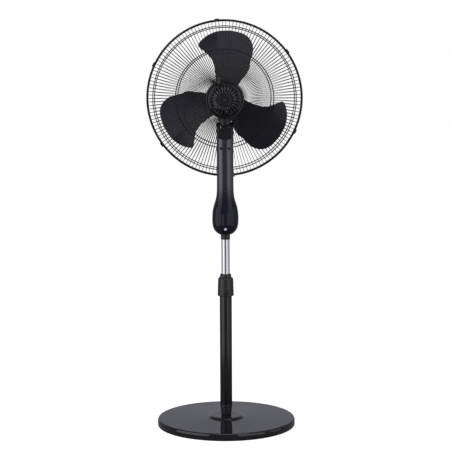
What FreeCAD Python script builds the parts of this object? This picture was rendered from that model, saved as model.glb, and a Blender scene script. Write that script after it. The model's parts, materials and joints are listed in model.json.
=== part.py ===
import FreeCAD, Part
import math
import os

Vector = FreeCAD.Vector

# Pedestal fan, millimetres. +Z is up and the air blows towards +Y.
# The origin is the middle of the base, on the floor. Every size that can be
# set by itself is named once here; what fits it is worked out from it.

# ---- clearances and fits ----
running_gap = 0.08      # radial gap of a shaft or sleeve that turns or slides
face_gap = 0.5          # gap between faces of parts that move past each other
loose_gap = 1.0         # gap round a part that passes through a cover
weld = 0.3              # how far a grille wire sinks into the ring it is welded to

# ---- base ----
base_d = 404.0
base_h = 22.0           # floor to the flat top
base_edge_r = 5.5
base_wall = 2.5
boss_d = 108.0          # shallow raised middle of the base
boss_rise = 6.0
foot_count = 6
foot_r = 9.0
foot_inset = 26.0       # feet from the edge of the base
foot_h = 3.0
foot_drop = 1.0         # how far the feet stand below the cover's edge
weight_r_in = 70.0
weight_inset = 52.0     # edge of the weight from the edge of the base
weight_t = 8.0
stud_r = 9.0            # threaded stud under the pole
boss_seat = 3.0         # underside of the raised middle above the rest of the underside
base_nut_wall = 10.0
base_nut_t = 7.0
wing_len = 14.0         # wing of the base nut

# ---- pole ----
tube_r = 17.8
tube_wall = 1.5
tube_h = 371.0          # straight tube, above its tapered foot
taper_h = 33.0          # tapered foot of the pole
taper_inset = 3.3       # how much narrower the foot is at the bottom
slide_r = 12.0          # chrome tube that slides in the pole
slide_wall = 1.2
slide_len = 364.0
slide_overlap = 206.0   # chrome tube inside the pole, at rest
guide_h = 20.0
collar_h = 54.0         # twist collar
collar_under = 48.0     # collar's bottom below the top of the tube
collar_wall = 5.2
collar_flare = 0.7
collar_lip = 5.0
pad_half_w = 9.0        # arched thumb pad on the collar
pad_rise = 1.4
cap_wall = 4.5          # visible cap of the collet
cap_h = 11.0
collet_depth = 38.0

# ---- column and control pod ----
socket_wall = 1.5       # sleeve between the chrome tube and the pod
socket_h = 40.0
socket_seen = 15.0      # sleeve below the pod
pod_r = 38.3            # half width of the pod at its widest
column_r = 24.2         # half width of the column above it
column_h = 285.0        # pod and column together
depth_share = 0.9       # depth of pod and column against their width
shell_wall = 2.4
rib_half_w = 7.0
rib_rise = 1.8
rib_h = 58.4
clamp_rise = 17.6       # clamp screw above the bottom of the pod
clamp_head_r = 3.8
clamp_head_t = 2.0
panel_half_w = 19.0
panel_rise = 19.0       # control panel above the bottom of the pod
panel_h = 68.0
panel_proud = 2.25      # front of the panel beyond the pod
panel_depth = 14.0
panel_t = 3.0
button_r = 5.0
button_pitch = 14.0
button_proud = 4.0
button_travel = 3.0
button_stem = 7.0
switch_half_w = 13.0
switch_margin = 8.0     # switch block beyond the outer buttons
switch_depth = 20.5
screw_head_r = 3.2
screw_head_t = 1.8
screw_sink = 0.6
screw_len = 9.0
screw_shank_r = 1.6
top_screw_share = 0.513  # places of the shell screws, as shares of the width
pod_screw_share = 0.778
gland_r = 4.5
gland_bore_r = 3.2
gland_x = 15.0
gland_rise = 25.0

# ---- tilt joint ----
block_half_w = 24.8
knuckle_r = 22.0
block_drop = 28.0       # tilt axis to the lowest point of the block
block_arc_r = 36.5
shell_lap = 10.0        # corners of the shell beside the block's arc
tongue_half_w = 12.0
bolt_r = 4.0
plug_h = 40.0
neck_r = 17.0
neck_h = 34.0           # tilt axis to the top of the neck
spigot_r = 11.0         # narrow top of the neck, inside the motor cover
arm_t = 4.0

# ---- head ----
neck_sink = 1.0         # neck inside the motor cover
pivot_r = 6.0           # vertical shaft that the head swings on
pivot_boss_r = 10.0
pivot_proud = 10.0      # shaft above the neck's arm
gear_drop = 29.0        # crank gear below the motor shaft
arm_drop = 15.0         # neck's arm below the crank gear
crank_x = 2.0
crank_y = -30.5
crank_r = 6.0           # crank pin's distance from its axis
link_x = 16.0           # fixed end of the drive link, on the neck
link_y = -14.0
link_t = 4.0
link_half_w = 2.5
pin_r = 2.5
pin_len = 3.0
link_post_r = 3.0
worm_x = -16.0
worm_y = -44.0
worm_r = 3.5
gear_gap = 0.3
pinion_r = 4.9
gear_t = 5.0
case_wall = 2.3
shaft_r = 4.0
shaft_neck_r = 3.0
rotor_r = 21.7
air_gap = 0.4
stator_wall = 20.3      # stator's outside beyond the rotor
stator_y = 20.0
stator_len = 22.0
coil_head = 3.0
bracket_wall = 3.0
bracket_t = 4.0
bearing_r = 7.0
bearing_boss_r = 9.5
bearing_boss_len = 10.0
cover_room = 7.5        # air between motor and covers
cover_wall = 2.5
front_cover_lip = 1.0   # front cover beyond the rear one
seam_ahead = 2.0        # seam of the covers ahead of the stator's rear
front_room = 2.0
front_shoulder = 14.0
threaded_boss_r = 24.0
threaded_boss_len = 13.0
rear_cover_len = 52.0   # seam to the step of the rear cover
dome_step = 9.5         # how much narrower the vented dome is
dome_len = 49.0
dome_lead = 8.0
dome_steps = 9
dome_square = 0.75      # under 1 makes the dome's shoulder squarer
vent_count = 24
vent_r_in = 19.0
vent_edge = 7.0         # vents from the dome's edge
vent_w = 3.0
knob_r = 6.5
knob_h = 18.5
knob_rod_r = 2.0
cover_screw_r = 4.0

# ---- blade ----
blade_count = 3
tip_gap = 32.5          # blade tips from the outside of the grille
hub_r = 46.0
hub_gap = 9.0           # hub ahead of the motor's threaded boss
hub_len = 40.0
hub_wall = 2.5
blade_t = 2.4
spinner_r = 15.0
spinner_len = 17.0

# ---- grilles ----
rim_r = 232.5           # outside of the grille
rim_wire_r = 3.2
rim_ahead = 46.0        # rear rim ahead of the hub's rear
rim_pitch = 7.4         # distance between the two rims
wire_count = 134
wire_r = 0.75
ring_wire_r = 1.4
plate_r = 50.0
plate_t = 2.0
nut_wall = 9.0
nut_t = 8.0
rear_bend_inset = 67.5  # bends and rings, measured inwards from the outside
rear_bend_depth = 22.0
rear_ring_insets = (88.0, 20.0)
front_bend_inset = 74.5
front_bulge = 43.6
front_ring_insets = (92.5, 24.0)
front_plate_step = 7.0
badge_r = 50.0
bend_radius = 60.0
clip_count = 6
clip_first_deg = 35.0
clip_half_w = 7.0
clip_lip_half_w = 3.5
clip_t = 2.0

# ---- heights, from the floor up ----
base_bottom = foot_drop
boss_top = base_h + boss_rise
pole_z = boss_top + taper_h
tube_top_z = pole_z + tube_h
collar_z = tube_top_z - collar_under
cap_z = collar_z + collar_h
slide_bottom_z = tube_top_z - slide_overlap
slide_top_z = slide_bottom_z + slide_len
socket_z = slide_top_z - socket_h
pod_z = socket_z + socket_seen
clamp_z = pod_z + clamp_rise
gland_z = pod_z + gland_rise
panel_z0 = pod_z + panel_rise
panel_z1 = panel_z0 + panel_h
column_top_z = pod_z + column_h
block_low_z = column_top_z - shell_lap
tilt_z = block_low_z + block_drop
neck_top_z = tilt_z + neck_h

# ---- pole and base, worked out ----
taper_r = tube_r - taper_inset
tube_bore = tube_r - tube_wall
slide_bore = slide_r - slide_wall
collar_r = tube_r + collar_wall
cap_r = slide_r + cap_wall
socket_r = slide_r + socket_wall
foot_ring_r = base_d / 2 - foot_inset
weight_r_out = base_d / 2 - weight_inset
base_nut_r = stud_r + base_nut_wall
panel_front_y = pod_r * depth_share + panel_proud
panel_back_y = panel_front_y - panel_depth

# ---- motor, worked out ----
stator_r = rotor_r + stator_wall
bracket_r = stator_r + bracket_wall
cover_r = bracket_r + cover_room + cover_wall
front_cover_r = cover_r + front_cover_lip
front_shoulder_r = front_cover_r - front_shoulder
dome_r = cover_r - dome_step
vent_r_out = dome_r - vent_edge
axis_z = neck_top_z + cover_r - neck_sink
gear_z = axis_z - gear_drop
arm_z = gear_z - arm_drop
knob_z = axis_z + dome_r
worm_gear_r = abs(worm_x) - worm_r - gear_gap
gear_axes = math.hypot(worm_x - crank_x, worm_y - crank_y)
crank_gear_r = gear_axes - pinion_r - gear_gap
link_reach = math.hypot(link_x, link_y)
pin_x = crank_x + crank_r * link_x / link_reach
pin_y = crank_y + crank_r * link_y / link_reach
link_z = gear_z - pin_len - face_gap - link_t
stator_end = stator_y + stator_len
bracket_rear_y = stator_y - coil_head - 1.0 - bracket_t
bracket_front_y = stator_end + coil_head + 1.0
seam_y = stator_y + seam_ahead
step_y = seam_y - rear_cover_len
dome_end_y = step_y - dome_len
front_face_y = bracket_front_y + bracket_t + bearing_boss_len + front_room
case_x0 = worm_x - worm_gear_r - case_wall - face_gap
case_x1 = crank_x + 9.5
case_y0 = worm_y - worm_gear_r - case_wall - face_gap
case_y1 = crank_y + 15.5
case_z0 = gear_z + gear_t + 2.0
case_z1 = axis_z + 13.0

# ---- blade and grilles, worked out ----
blade_r = rim_r - tip_gap
hub_y = front_face_y + threaded_boss_len + hub_gap
rim_core_r = rim_r - rim_wire_r
rim_rear_y = hub_y + rim_ahead
rim_front_y = rim_rear_y + rim_pitch
rear_bend_r = rim_r - rear_bend_inset
rear_bend_y = front_face_y + rear_bend_depth
rear_rings = [rim_r - inset for inset in rear_ring_insets]
front_bend_r = rim_r - front_bend_inset
front_bend_y = rim_front_y + front_bulge
front_rings = [rim_r - inset for inset in front_ring_insets]
front_plate_y = front_bend_y + front_plate_step


# ---- helpers ----
def box(x0, x1, y0, y1, z0, z1):
    return Part.makeBox(x1 - x0, y1 - y0, z1 - z0, Vector(x0, y0, z0))


def upright(r, z0, z1, x=0.0, y=0.0):
    return Part.makeCylinder(r, z1 - z0, Vector(x, y, z0), Vector(0, 0, 1))


def along_y(r, y0, y1, x=0.0, z=axis_z):
    return Part.makeCylinder(r, y1 - y0, Vector(x, y0, z), Vector(0, 1, 0))


def along_x(r, x0, x1, y=0.0, z=tilt_z):
    return Part.makeCylinder(r, x1 - x0, Vector(x0, y, z), Vector(1, 0, 0))


def sleeve(r_out, r_in, z0, z1, x=0.0, y=0.0):
    return upright(r_out, z0, z1, x, y).cut(upright(r_in, z0, z1, x, y))


def ring_y(r_out, r_in, y0, y1):
    return along_y(r_out, y0, y1).cut(along_y(r_in, y0, y1))


def turned(points, smooth_from=None, smooth_to=None):
    """Solid turned about Z from (radius, height) points; one run may be a smooth curve."""
    spots = [Vector(r, 0, z) for r, z in points]
    edges = []
    start = 0
    if smooth_from is not None:
        edges = straight_edges(spots[:smooth_from + 1])
        curve = Part.BSplineCurve()
        curve.interpolate(spots[smooth_from:smooth_to + 1])
        edges.append(curve.toShape())
        start = smooth_to
    edges += straight_edges(spots[start:] + [spots[0]])
    face = Part.Face(Part.Wire(edges))
    return face.revolve(Vector(0, 0, 0), Vector(0, 0, 1), 360)


def straight_edges(spots):
    return [Part.makeLine(a, b) for a, b in zip(spots, spots[1:])]


def turned_y(points, smooth_from=None, smooth_to=None):
    """The same, turned about the motor shaft, from (radius, y) points."""
    shape = turned(points, smooth_from, smooth_to)
    shape.rotate(Vector(0, 0, 0), Vector(1, 0, 0), -90)
    shape.translate(Vector(0, 0, axis_z))
    return shape


def about_shaft(shape, degrees):
    """Copy turned about the motor shaft, counter-clockwise seen from behind."""
    copy = shape.copy()
    copy.rotate(Vector(0, 0, axis_z), Vector(0, -1, 0), degrees)
    return copy


def around_z(shape, degrees):
    copy = shape.copy()
    copy.rotate(Vector(0, 0, 0), Vector(0, 0, 1), degrees)
    return copy


def cut_round(body, tool, count, first=0.0):
    """Cut the tool out of the body at even steps about the motor shaft."""
    for index in range(count):
        body = body.cut(about_shaft(tool, first + 360.0 / count * index))
    return body


def fuse_all(shapes):
    return shapes[0].multiFuse(shapes[1:]).removeSplitter()


def save(node, shape):
    shape.exportStep("parts/" + node + ".step")
    print(node, len(shape.Solids), "solids", round(shape.Volume / 1000.0, 2), "cm3", shape.isValid())


# ---- base ----
def base_cover():
    outer_r = base_d / 2
    flat_r = outer_r - base_edge_r
    slope_r = boss_d / 2
    outer = turned([(0, base_bottom), (outer_r - 1, base_bottom), (outer_r, base_bottom + 1.5),
                    (outer_r, base_h - 6), (outer_r - 1.2, base_h - 2.4), (outer_r - 3, base_h - 0.7),
                    (flat_r, base_h), (slope_r, base_h), (slope_r - 3, base_h + 1.5),
                    (slope_r - 7, boss_top - 1.6), (slope_r - 12, boss_top), (0, boss_top)])
    wall = base_wall
    inner = turned([(0, base_bottom), (outer_r - wall - 1, base_bottom),
                    (outer_r - wall - 2, base_h - wall - 3), (flat_r - 3, base_h - wall),
                    (slope_r - wall, base_h - wall), (slope_r - wall - 10, base_h - wall + boss_seat),
                    (0, base_h - wall + boss_seat)])
    cover = outer.cut(inner).cut(upright(stud_r + running_gap, 0, boss_top + 1))
    return cover


def base_weight():
    top = base_h - base_wall
    return sleeve(weight_r_out, weight_r_in, top - weight_t, top)


def base_feet():
    feet = []
    for index in range(foot_count):
        foot = upright(foot_r, 0, foot_h, foot_ring_r, 0)
        ledge = upright(foot_r - 3, foot_h, base_h - base_wall, foot_ring_r, 0)
        feet.append(around_z(foot.fuse(ledge).removeSplitter(), 360.0 / foot_count * index))
    return Part.makeCompound(feet)


def base_nut():
    top = base_h - base_wall + boss_seat
    nut = upright(base_nut_r, top - base_nut_t, top).cut(upright(stud_r, 0, top))
    wing = box(base_nut_r - 4, base_nut_r + wing_len, -3, 3, top - base_nut_t, top)
    return fuse_all([nut, wing, around_z(wing, 180)])


# ---- pole ----
def tube_foot():
    cone = turned([(0, boss_top), (taper_r, boss_top), (tube_r, pole_z - 1), (tube_r, pole_z), (0, pole_z)])
    spigot = upright(tube_bore, pole_z, pole_z + 24)
    stud = upright(stud_r, base_h - base_wall - 6, boss_top)
    return fuse_all([cone, spigot, stud])


def lower_tube():
    return sleeve(tube_r, tube_bore, pole_z, tube_top_z)


def collet():
    bore = slide_r + running_gap
    skirt = sleeve(tube_bore, bore, tube_top_z - collet_depth, tube_top_z)
    flange = sleeve(cap_r, bore, tube_top_z, cap_z)
    cap = turned([(bore, cap_z), (cap_r, cap_z), (cap_r, cap_z + cap_h - 3),
                  (cap_r - 2, cap_z + cap_h), (bore, cap_z + cap_h)])
    slit = box(bore - 1, tube_bore + 1, -0.6, 0.6, tube_top_z - collet_depth - 1, tube_top_z - 6)
    body = fuse_all([skirt, flange, cap])
    for index in range(4):
        body = body.cut(around_z(slit, 90.0 * index + 45))
    return body


def lock_collar():
    bore = tube_r + running_gap
    lip = cap_r + running_gap
    bottom = collar_r + collar_flare
    body = turned([(bore, collar_z), (bottom - 1, collar_z), (bottom, collar_z + 2),
                   (collar_r, collar_z + collar_h * 0.45), (collar_r - 0.8, cap_z - 3),
                   (collar_r - 3, cap_z - face_gap), (lip, cap_z - face_gap),
                   (lip, cap_z - collar_lip), (bore, cap_z - collar_lip)])
    pad_z = collar_z + 17
    front = -bottom - pad_rise
    pad = box(-pad_half_w, pad_half_w, front, -bore - 1, collar_z + 6, pad_z)
    pad = pad.fuse(along_y(pad_half_w, front, -bore - 1, 0, pad_z))
    return body.fuse(pad).removeSplitter()


def inner_tube():
    return sleeve(slide_r, slide_bore, slide_bottom_z, slide_top_z)


def tube_guide():
    outer = tube_bore - running_gap
    ring = sleeve(outer, slide_r, slide_bottom_z, slide_bottom_z + guide_h)
    stop = sleeve(outer, slide_bore, slide_bottom_z - 3, slide_bottom_z)
    return ring.fuse(stop).removeSplitter()


def tube_socket():
    body = sleeve(socket_r, slide_r, socket_z, slide_top_z)
    return body.cut(along_y(screw_shank_r, -socket_r - 1, 0, 0, clamp_z))


def clamp_screw():
    head_y = -depth_share * half_width(clamp_z) - rib_rise
    head = along_y(clamp_head_r, head_y - clamp_head_t, head_y, 0, clamp_z)
    shank = along_y(screw_shank_r, head_y, -slide_r, 0, clamp_z)
    return head.fuse(shank).removeSplitter()


# ---- column and pod ----
def outline(grow=0.0):
    """(half width, height) of pod and column, bottom to top; grow moves it outwards."""
    span = pod_r - column_r
    points = [(socket_r + 3.5, pod_z), (pod_r * 0.62, pod_z + 4), (pod_r * 0.755, pod_z + 9),
              (pod_r * 0.865, pod_z + 15), (pod_r * 0.94, pod_z + 22), (pod_r * 0.988, pod_z + 34),
              (pod_r, pod_z + 49), (column_r + span * 0.9, pod_z + 68),
              (column_r + span * 0.66, pod_z + 84), (column_r + span * 0.32, pod_z + 99),
              (column_r + span * 0.1, pod_z + 114), (column_r, pod_z + 137),
              (column_r, column_top_z - 60), (column_r, column_top_z)]
    return [(r + grow, z) for r, z in points]


def half_width(z):
    points = outline()
    for (r0, z0), (r1, z1) in zip(points, points[1:]):
        if z <= z1:
            return r0 + (r1 - r0) * (z - z0) / (z1 - z0)
    return points[-1][0]


def pod_form(grow, z_lift=0.0):
    points = outline(grow)
    points[0] = (points[0][0], points[0][1] + z_lift)
    closed = [(0, points[0][1])] + points + [(0, points[-1][1])]
    form = turned(closed, 1, len(points))
    squeeze = FreeCAD.Matrix()
    squeeze.scale(1, depth_share, 1)
    return form.transformGeometry(squeeze)


def column_shell():
    top_cut = along_y(block_arc_r, -60, 60, 0, block_low_z + block_arc_r)
    shell = pod_form(0).cut(pod_form(-shell_wall, shell_wall))
    shell = shell.cut(top_cut)
    shell = shell.cut(upright(socket_r, pod_z - 1, pod_z + shell_wall + 1))
    return shell


def panel_block(grow=0.0):
    w = panel_half_w + grow
    block = box(-w, w, panel_back_y, panel_front_y, panel_z0 - grow, panel_z1 + grow)
    return rounded_y(block, 8.0)


def rounded_y(shape, r):
    edges = [e for e in shape.Edges if abs(e.tangentAt(e.FirstParameter).y) > 0.99]
    return shape.makeFillet(r, edges)


def front_shell(shell):
    half = shell.common(box(-60, 60, 0, 60, pod_z - 1, column_top_z + 20))
    return half.cut(panel_block())


def rear_shell(shell):
    half = shell.common(box(-60, 60, -60, 0, pod_z - 1, column_top_z + 20))
    rib_zone = box(-rib_half_w, rib_half_w, -60, -10, clamp_z - 8, clamp_z - 8 + rib_h)
    rib = pod_form(rib_rise).cut(pod_form(-shell_wall / 2)).common(rib_zone)
    half = half.fuse(rib).removeSplitter()
    half = half.cut(along_y(screw_shank_r, -60, 0, 0, clamp_z))
    for x, z, depth in screw_spots():
        half = half.cut(along_y(screw_shank_r, -60, 0, x, z))
    return half.cut(along_y(gland_r, -60, 0, gland_x, gland_z))


def screw_spots():
    """(x, z, surface y) of the five screws in the rear shell."""
    top_z = tilt_z - 52.2
    top_x = column_r * top_screw_share
    side_z = pod_z + 86.6
    side_x = half_width(side_z) * pod_screw_share
    spots = [(-top_x, top_z), (top_x, top_z), (0.0, pod_z + 126.6), (-side_x, side_z), (side_x, side_z)]
    result = []
    for x, z in spots:
        w = half_width(z)
        result.append((x, z, -depth_share * math.sqrt(w * w - x * x)))
    return result


def shell_screws():
    screws = []
    for x, z, y in screw_spots():
        head = along_y(screw_head_r, y - screw_head_t, y + screw_sink, x, z)
        shank = along_y(screw_shank_r, y + screw_sink, y + screw_len, x, z)
        screws.append(head.fuse(shank).removeSplitter())
    return Part.makeCompound(screws)


def button_heights():
    middle = (panel_z0 + panel_z1) / 2
    return [middle + button_pitch * (index - 1.5) for index in range(4)]


def control_panel():
    inner_w = panel_half_w - panel_t
    hollow = box(-inner_w, inner_w, panel_back_y, panel_front_y - panel_t,
                 panel_z0 + panel_t, panel_z1 - panel_t)
    panel = panel_block().cut(rounded_y(hollow, 6.0))
    for z in button_heights():
        panel = panel.cut(along_y(button_r + face_gap, panel_back_y, panel_front_y + 1, 0, z))
    return panel


def button(z):
    cap = along_y(button_r, panel_front_y - panel_t + 1, panel_front_y + button_proud, 0, z)
    edges = [e for e in cap.Edges if abs(e.CenterOfMass.y - panel_front_y - button_proud) < 0.1]
    cap = cap.makeFillet(1.2, edges[:1])
    stem = along_y(2.0, stem_end_y(), panel_front_y - panel_t + 1, 0, z)
    return cap.fuse(stem).removeSplitter()


def stem_end_y():
    return panel_front_y - panel_t - button_stem


def switch_block():
    front = stem_end_y() - button_travel - face_gap
    low = max(button_heights()[0] - switch_margin, slide_top_z + 1)
    high = button_heights()[-1] + switch_margin
    back = front - switch_depth
    return box(-switch_half_w, switch_half_w, back, front, low, high)


def capacitor():
    z = pod_z + 142
    return box(-9, 9, -10, 4, z, z + 34).fuse(box(-4, 4, 4, 7, z, z + 12)).removeSplitter()


def cord_gland():
    w = half_width(gland_z)
    y = -depth_share * math.sqrt(w * w - gland_x * gland_x)
    body = along_y(gland_r, y - 7, y + 5, gland_x, gland_z)
    flange = along_y(gland_r + 2, y + 3.5, y + 6, gland_x, gland_z)
    return body.fuse(flange).removeSplitter().cut(along_y(gland_bore_r, y - 8, y + 3, gland_x, gland_z))


# ---- tilt joint ----
def tilt_housing():
    low = block_low_z
    side = block_half_w
    block = block_column(low, tilt_z)
    top = along_x(knuckle_r, -side, side).common(block_column(tilt_z, tilt_z + knuckle_r))
    block = block.fuse(top).removeSplitter()
    block = block.common(along_y(block_arc_r, -60, 60, 0, low + block_arc_r))
    plug_r = column_r - shell_wall - face_gap
    plug = upright(plug_r, low - plug_h, low + 8)
    squeeze = FreeCAD.Matrix()
    squeeze.scale(1, (column_r * depth_share - shell_wall - face_gap) / plug_r, 1)
    block = block.fuse(plug.transformGeometry(squeeze)).removeSplitter()
    slot_w = tongue_half_w + face_gap
    slot = along_x(knuckle_r + face_gap - 0.4, -slot_w, slot_w)
    slot = slot.fuse(box(-slot_w, slot_w, -40, 40, tilt_z, tilt_z + 40))
    block = block.cut(slot)
    block = block.cut(along_x(bolt_r + running_gap, -30, 30))
    for x, z, y in screw_spots()[:2]:
        block = block.cut(along_y(screw_shank_r, -40, 0, x, z))
    return block.cut(upright(6.0, low - plug_h - 1, low + 2))


def block_column(z0, z1):
    block = box(-block_half_w, block_half_w, -knuckle_r, knuckle_r, z0, z1)
    edges = [e for e in block.Edges if abs(e.tangentAt(e.FirstParameter).z) > 0.99]
    return block.makeFillet(7.0, edges)


def tilt_bolt():
    half = block_half_w - 4.0
    return along_x(bolt_r, -half, half)


def neck():
    tongue = along_x(knuckle_r - 0.4, -tongue_half_w, tongue_half_w)
    post = upright(neck_r, tilt_z, neck_top_z)
    for side in (-1, 1):
        x0 = min(side * tongue_half_w, side * 40)
        post = post.cut(along_x(knuckle_r + face_gap, x0, x0 + 40 - tongue_half_w))
    spigot = upright(spigot_r, neck_top_z, arm_z + arm_t)
    arm = upright(5.0, arm_z, arm_z + arm_t, link_x, link_y)
    bar = Part.makeBox(link_reach, 8, arm_t, Vector(0, -4, arm_z))
    bar.rotate(Vector(0, 0, 0), Vector(0, 0, 1), math.degrees(math.atan2(link_y, link_x)))
    stub = upright(link_post_r, arm_z + arm_t, link_z + link_t, link_x, link_y)
    body = fuse_all([tongue, post, spigot, arm, bar, stub])
    body = body.cut(upright(pivot_r + running_gap, tilt_z + bolt_r + 8, arm_z + arm_t + 1))
    return body.cut(along_x(bolt_r + running_gap, -30, 30))


def pivot_shaft():
    return upright(pivot_r, tilt_z + bolt_r + 8 + face_gap, arm_z + arm_t + pivot_proud)


# ---- motor ----
def rear_bracket():
    y = bracket_rear_y
    plate = ring_y(bracket_r, shaft_r + loose_gap, y, y + bracket_t)
    cup = ring_y(bracket_r, stator_r, y + bracket_t, stator_y + stator_len / 2)
    boss = ring_y(bearing_boss_r, bearing_r, y - bearing_boss_len, y)
    floor = arm_z + arm_t + face_gap
    hub = upright(pivot_boss_r, floor, floor + 12)
    web = box(-8, 8, 0, y + bracket_t, floor, axis_z - bearing_boss_r - 2)
    posts = [along_y(3.2, case_y1, y + 1, worm_x - 6, axis_z), along_y(3.2, case_y1, y + 1, case_x1 - 4, axis_z + 7)]
    body = fuse_all([plate, cup, boss, hub, web] + posts)
    body = body.cut(upright(pivot_r, floor - 1, arm_z + arm_t + pivot_proud))
    return cut_round(body, air_hole(y), 6)


def front_bracket():
    y = bracket_front_y
    plate = ring_y(bracket_r, shaft_r + loose_gap, y, y + bracket_t)
    cup = ring_y(bracket_r, stator_r, stator_y + stator_len / 2, y)
    boss = ring_y(bearing_boss_r, bearing_r, y + bracket_t, y + bracket_t + bearing_boss_len)
    return cut_round(fuse_all([plate, cup, boss]), air_hole(y), 6)


def air_hole(y):
    return along_y(6.0, y - 1, y + bracket_t + 1, 30, axis_z)


def shaft_bearings():
    bore = shaft_r + running_gap
    rear = ring_y(bearing_r, bore, bracket_rear_y - 9, bracket_rear_y)
    front_y = bracket_front_y + bracket_t
    front = ring_y(bearing_r, bore, front_y, front_y + 9)
    return Part.makeCompound([rear, front])


def stator_core():
    core = ring_y(stator_r, rotor_r + air_gap, stator_y, stator_end)
    slot = box(-2, 2, stator_y - 1, stator_end + 1, axis_z + rotor_r + 3, axis_z + stator_r - 6)
    return cut_round(core, slot, 16, 11.25)


def stator_coils():
    coils = []
    for y in (stator_y - coil_head, stator_end):
        ring = ring_y(stator_r - 4, rotor_r + 3, y, y + coil_head)
        gap = box(-2.5, 2.5, y - 1, y + coil_head + 1, axis_z, axis_z + stator_r)
        coils += cut_round(ring, gap, 4).Solids
    return Part.makeCompound(coils)


def rotor_core():
    return ring_y(rotor_r, shaft_r, stator_y - 1, stator_end + 1)


def motor_shaft():
    main = along_y(shaft_r, case_y1 + 4, hub_y + hub_len + 11)
    thin = along_y(shaft_neck_r, worm_y + 9, case_y1 + 4)
    worm = along_y(worm_r, worm_y - 8, worm_y + 9)
    for index in range(7):
        y = worm_y - 6.5 + 2.2 * index
        worm = worm.cut(ring_y(worm_r + 1, worm_r - 0.9, y, y + 1.0))
    body = fuse_all([main, thin, worm])
    return body.cut(blade_pin())


def blade_pin():
    return along_x(1.5, -10, 10, hub_y + 3, axis_z)


# ---- oscillation drive ----
def toothed(r, teeth, z0, z1, x, y):
    """Spur wheel whose teeth are short stubs round a plain disc."""
    wheel = upright(r, z0, z1, x, y)
    notch_r = math.pi * r / teeth / 2.2
    for index in range(teeth):
        turn = 2 * math.pi * (index + 0.5) / teeth
        notch = upright(notch_r, z0 - 1, z1 + 1, x + r * math.cos(turn), y + r * math.sin(turn))
        wheel = wheel.cut(notch)
    return wheel


def worm_gear():
    wheel = toothed(worm_gear_r, 28, axis_z - 4, axis_z + 4, worm_x, worm_y)
    pinion = toothed(pinion_r, 9, gear_z, gear_z + gear_t + 1, worm_x, worm_y)
    rod = upright(pin_r, gear_z - pin_len, axis_z + 7, worm_x, worm_y)
    return fuse_all([wheel, pinion, rod])


def crank_gear():
    wheel = toothed(crank_gear_r, 32, gear_z, gear_z + gear_t, crank_x, crank_y)
    axle = upright(3.0, gear_z + gear_t, case_z0 + 8, crank_x, crank_y)
    pin = upright(pin_r, gear_z - pin_len, gear_z, pin_x, pin_y)
    return fuse_all([wheel, axle, pin])


def drive_link():
    z1 = link_z + link_t
    length = math.hypot(pin_x - link_x, pin_y - link_y)
    bar = Part.makeBox(length, link_half_w * 2, link_t, Vector(0, -link_half_w, link_z))
    bar.rotate(Vector(0, 0, 0), Vector(0, 0, 1), math.degrees(math.atan2(pin_y - link_y, pin_x - link_x)))
    bar.translate(Vector(link_x, link_y, 0))
    body = fuse_all([bar, upright(5.0, link_z, z1, link_x, link_y), upright(4.0, link_z, z1, pin_x, pin_y)])
    return body.cut(upright(link_post_r + running_gap, link_z - 1, z1 + 1, link_x, link_y))


def gearbox_plate():
    plate = box(case_x0, case_x1, case_y0, case_y1, case_z0, case_z0 + 3)
    plate = plate.cut(upright(pin_r + running_gap, case_z0 - 1, case_z0 + 4, worm_x, worm_y))
    return plate.cut(upright(3.0 + running_gap, case_z0 - 1, case_z0 + 4, crank_x, crank_y))


def gearbox_case():
    wall = case_wall
    body = box(case_x0, case_x1, case_y0, case_y1, case_z0 + 3, case_z1)
    body = body.cut(box(case_x0 + wall, case_x1 - wall, case_y0 + wall, case_y1 - wall, case_z0, case_z1 - wall))
    body = body.cut(along_y(shaft_neck_r + loose_gap, case_y1 - wall - 1, case_y1 + 1))
    return body.cut(upright(knob_rod_r + running_gap, case_z1 - wall - 1, case_z1 + 1, worm_x, worm_y))


def clutch_knob():
    cap = turned([(0, 0), (knob_r - 1.5, 0), (knob_r - 1.0, knob_h - 7), (knob_r, knob_h - 5),
                  (knob_r, knob_h - 2), (knob_r - 2, knob_h), (0, knob_h)])
    cap.translate(Vector(worm_x, worm_y, knob_z))
    return cap.fuse(upright(knob_rod_r, case_z1 - 4, knob_z, worm_x, worm_y)).removeSplitter()


# ---- motor covers ----
def dome_points(grow=0.0):
    """(radius, y) points of the vented dome, a quarter of a squared-off ellipse."""
    start_y = step_y - dome_lead
    flat_r = vent_r_in - 5
    points = []
    for index in range(dome_steps + 1):
        turn = math.pi / 2 * index / dome_steps
        r = flat_r + (dome_r + grow - flat_r) * math.cos(turn) ** dome_square
        y = start_y - (start_y - dome_end_y + grow) * math.sin(turn)
        points.append((r, y))
    return points


def rear_cover():
    outer = turned_y([(0, seam_y), (cover_r, seam_y), (cover_r, step_y + 1), (cover_r - 1.2, step_y - 2.5),
                      (cover_r - 4, step_y - 4), (dome_r + 1.5, step_y - 3)] + dome_points()
                     + [(0, dome_end_y)])
    wall = cover_wall
    inner = turned_y([(0, seam_y + 1), (cover_r - wall, seam_y + 1), (cover_r - wall, step_y + wall),
                      (dome_r - wall, step_y)] + dome_points(-wall) + [(0, dome_end_y + wall)])
    cover = outer.cut(inner)
    cover = cover.cut(upright(neck_r + loose_gap, axis_z - cover_r - 5, axis_z - 30))
    slot = box(-vent_w / 2, vent_w / 2, dome_end_y - 5, step_y - 20, axis_z + vent_r_in, axis_z + vent_r_out)
    cover = cut_round(cover, slot, vent_count, 180.0 / vent_count)
    cover = cover.cut(upright(knob_rod_r + face_gap, axis_z, knob_z + 5, worm_x, worm_y))
    return cover.cut(along_y(screw_shank_r, dome_end_y - 1, dome_end_y + wall + 1))


def cover_screw():
    head = along_y(cover_screw_r, dome_end_y - 2, dome_end_y)
    return head.fuse(along_y(screw_shank_r, dome_end_y, case_y0 - 1)).removeSplitter()


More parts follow.
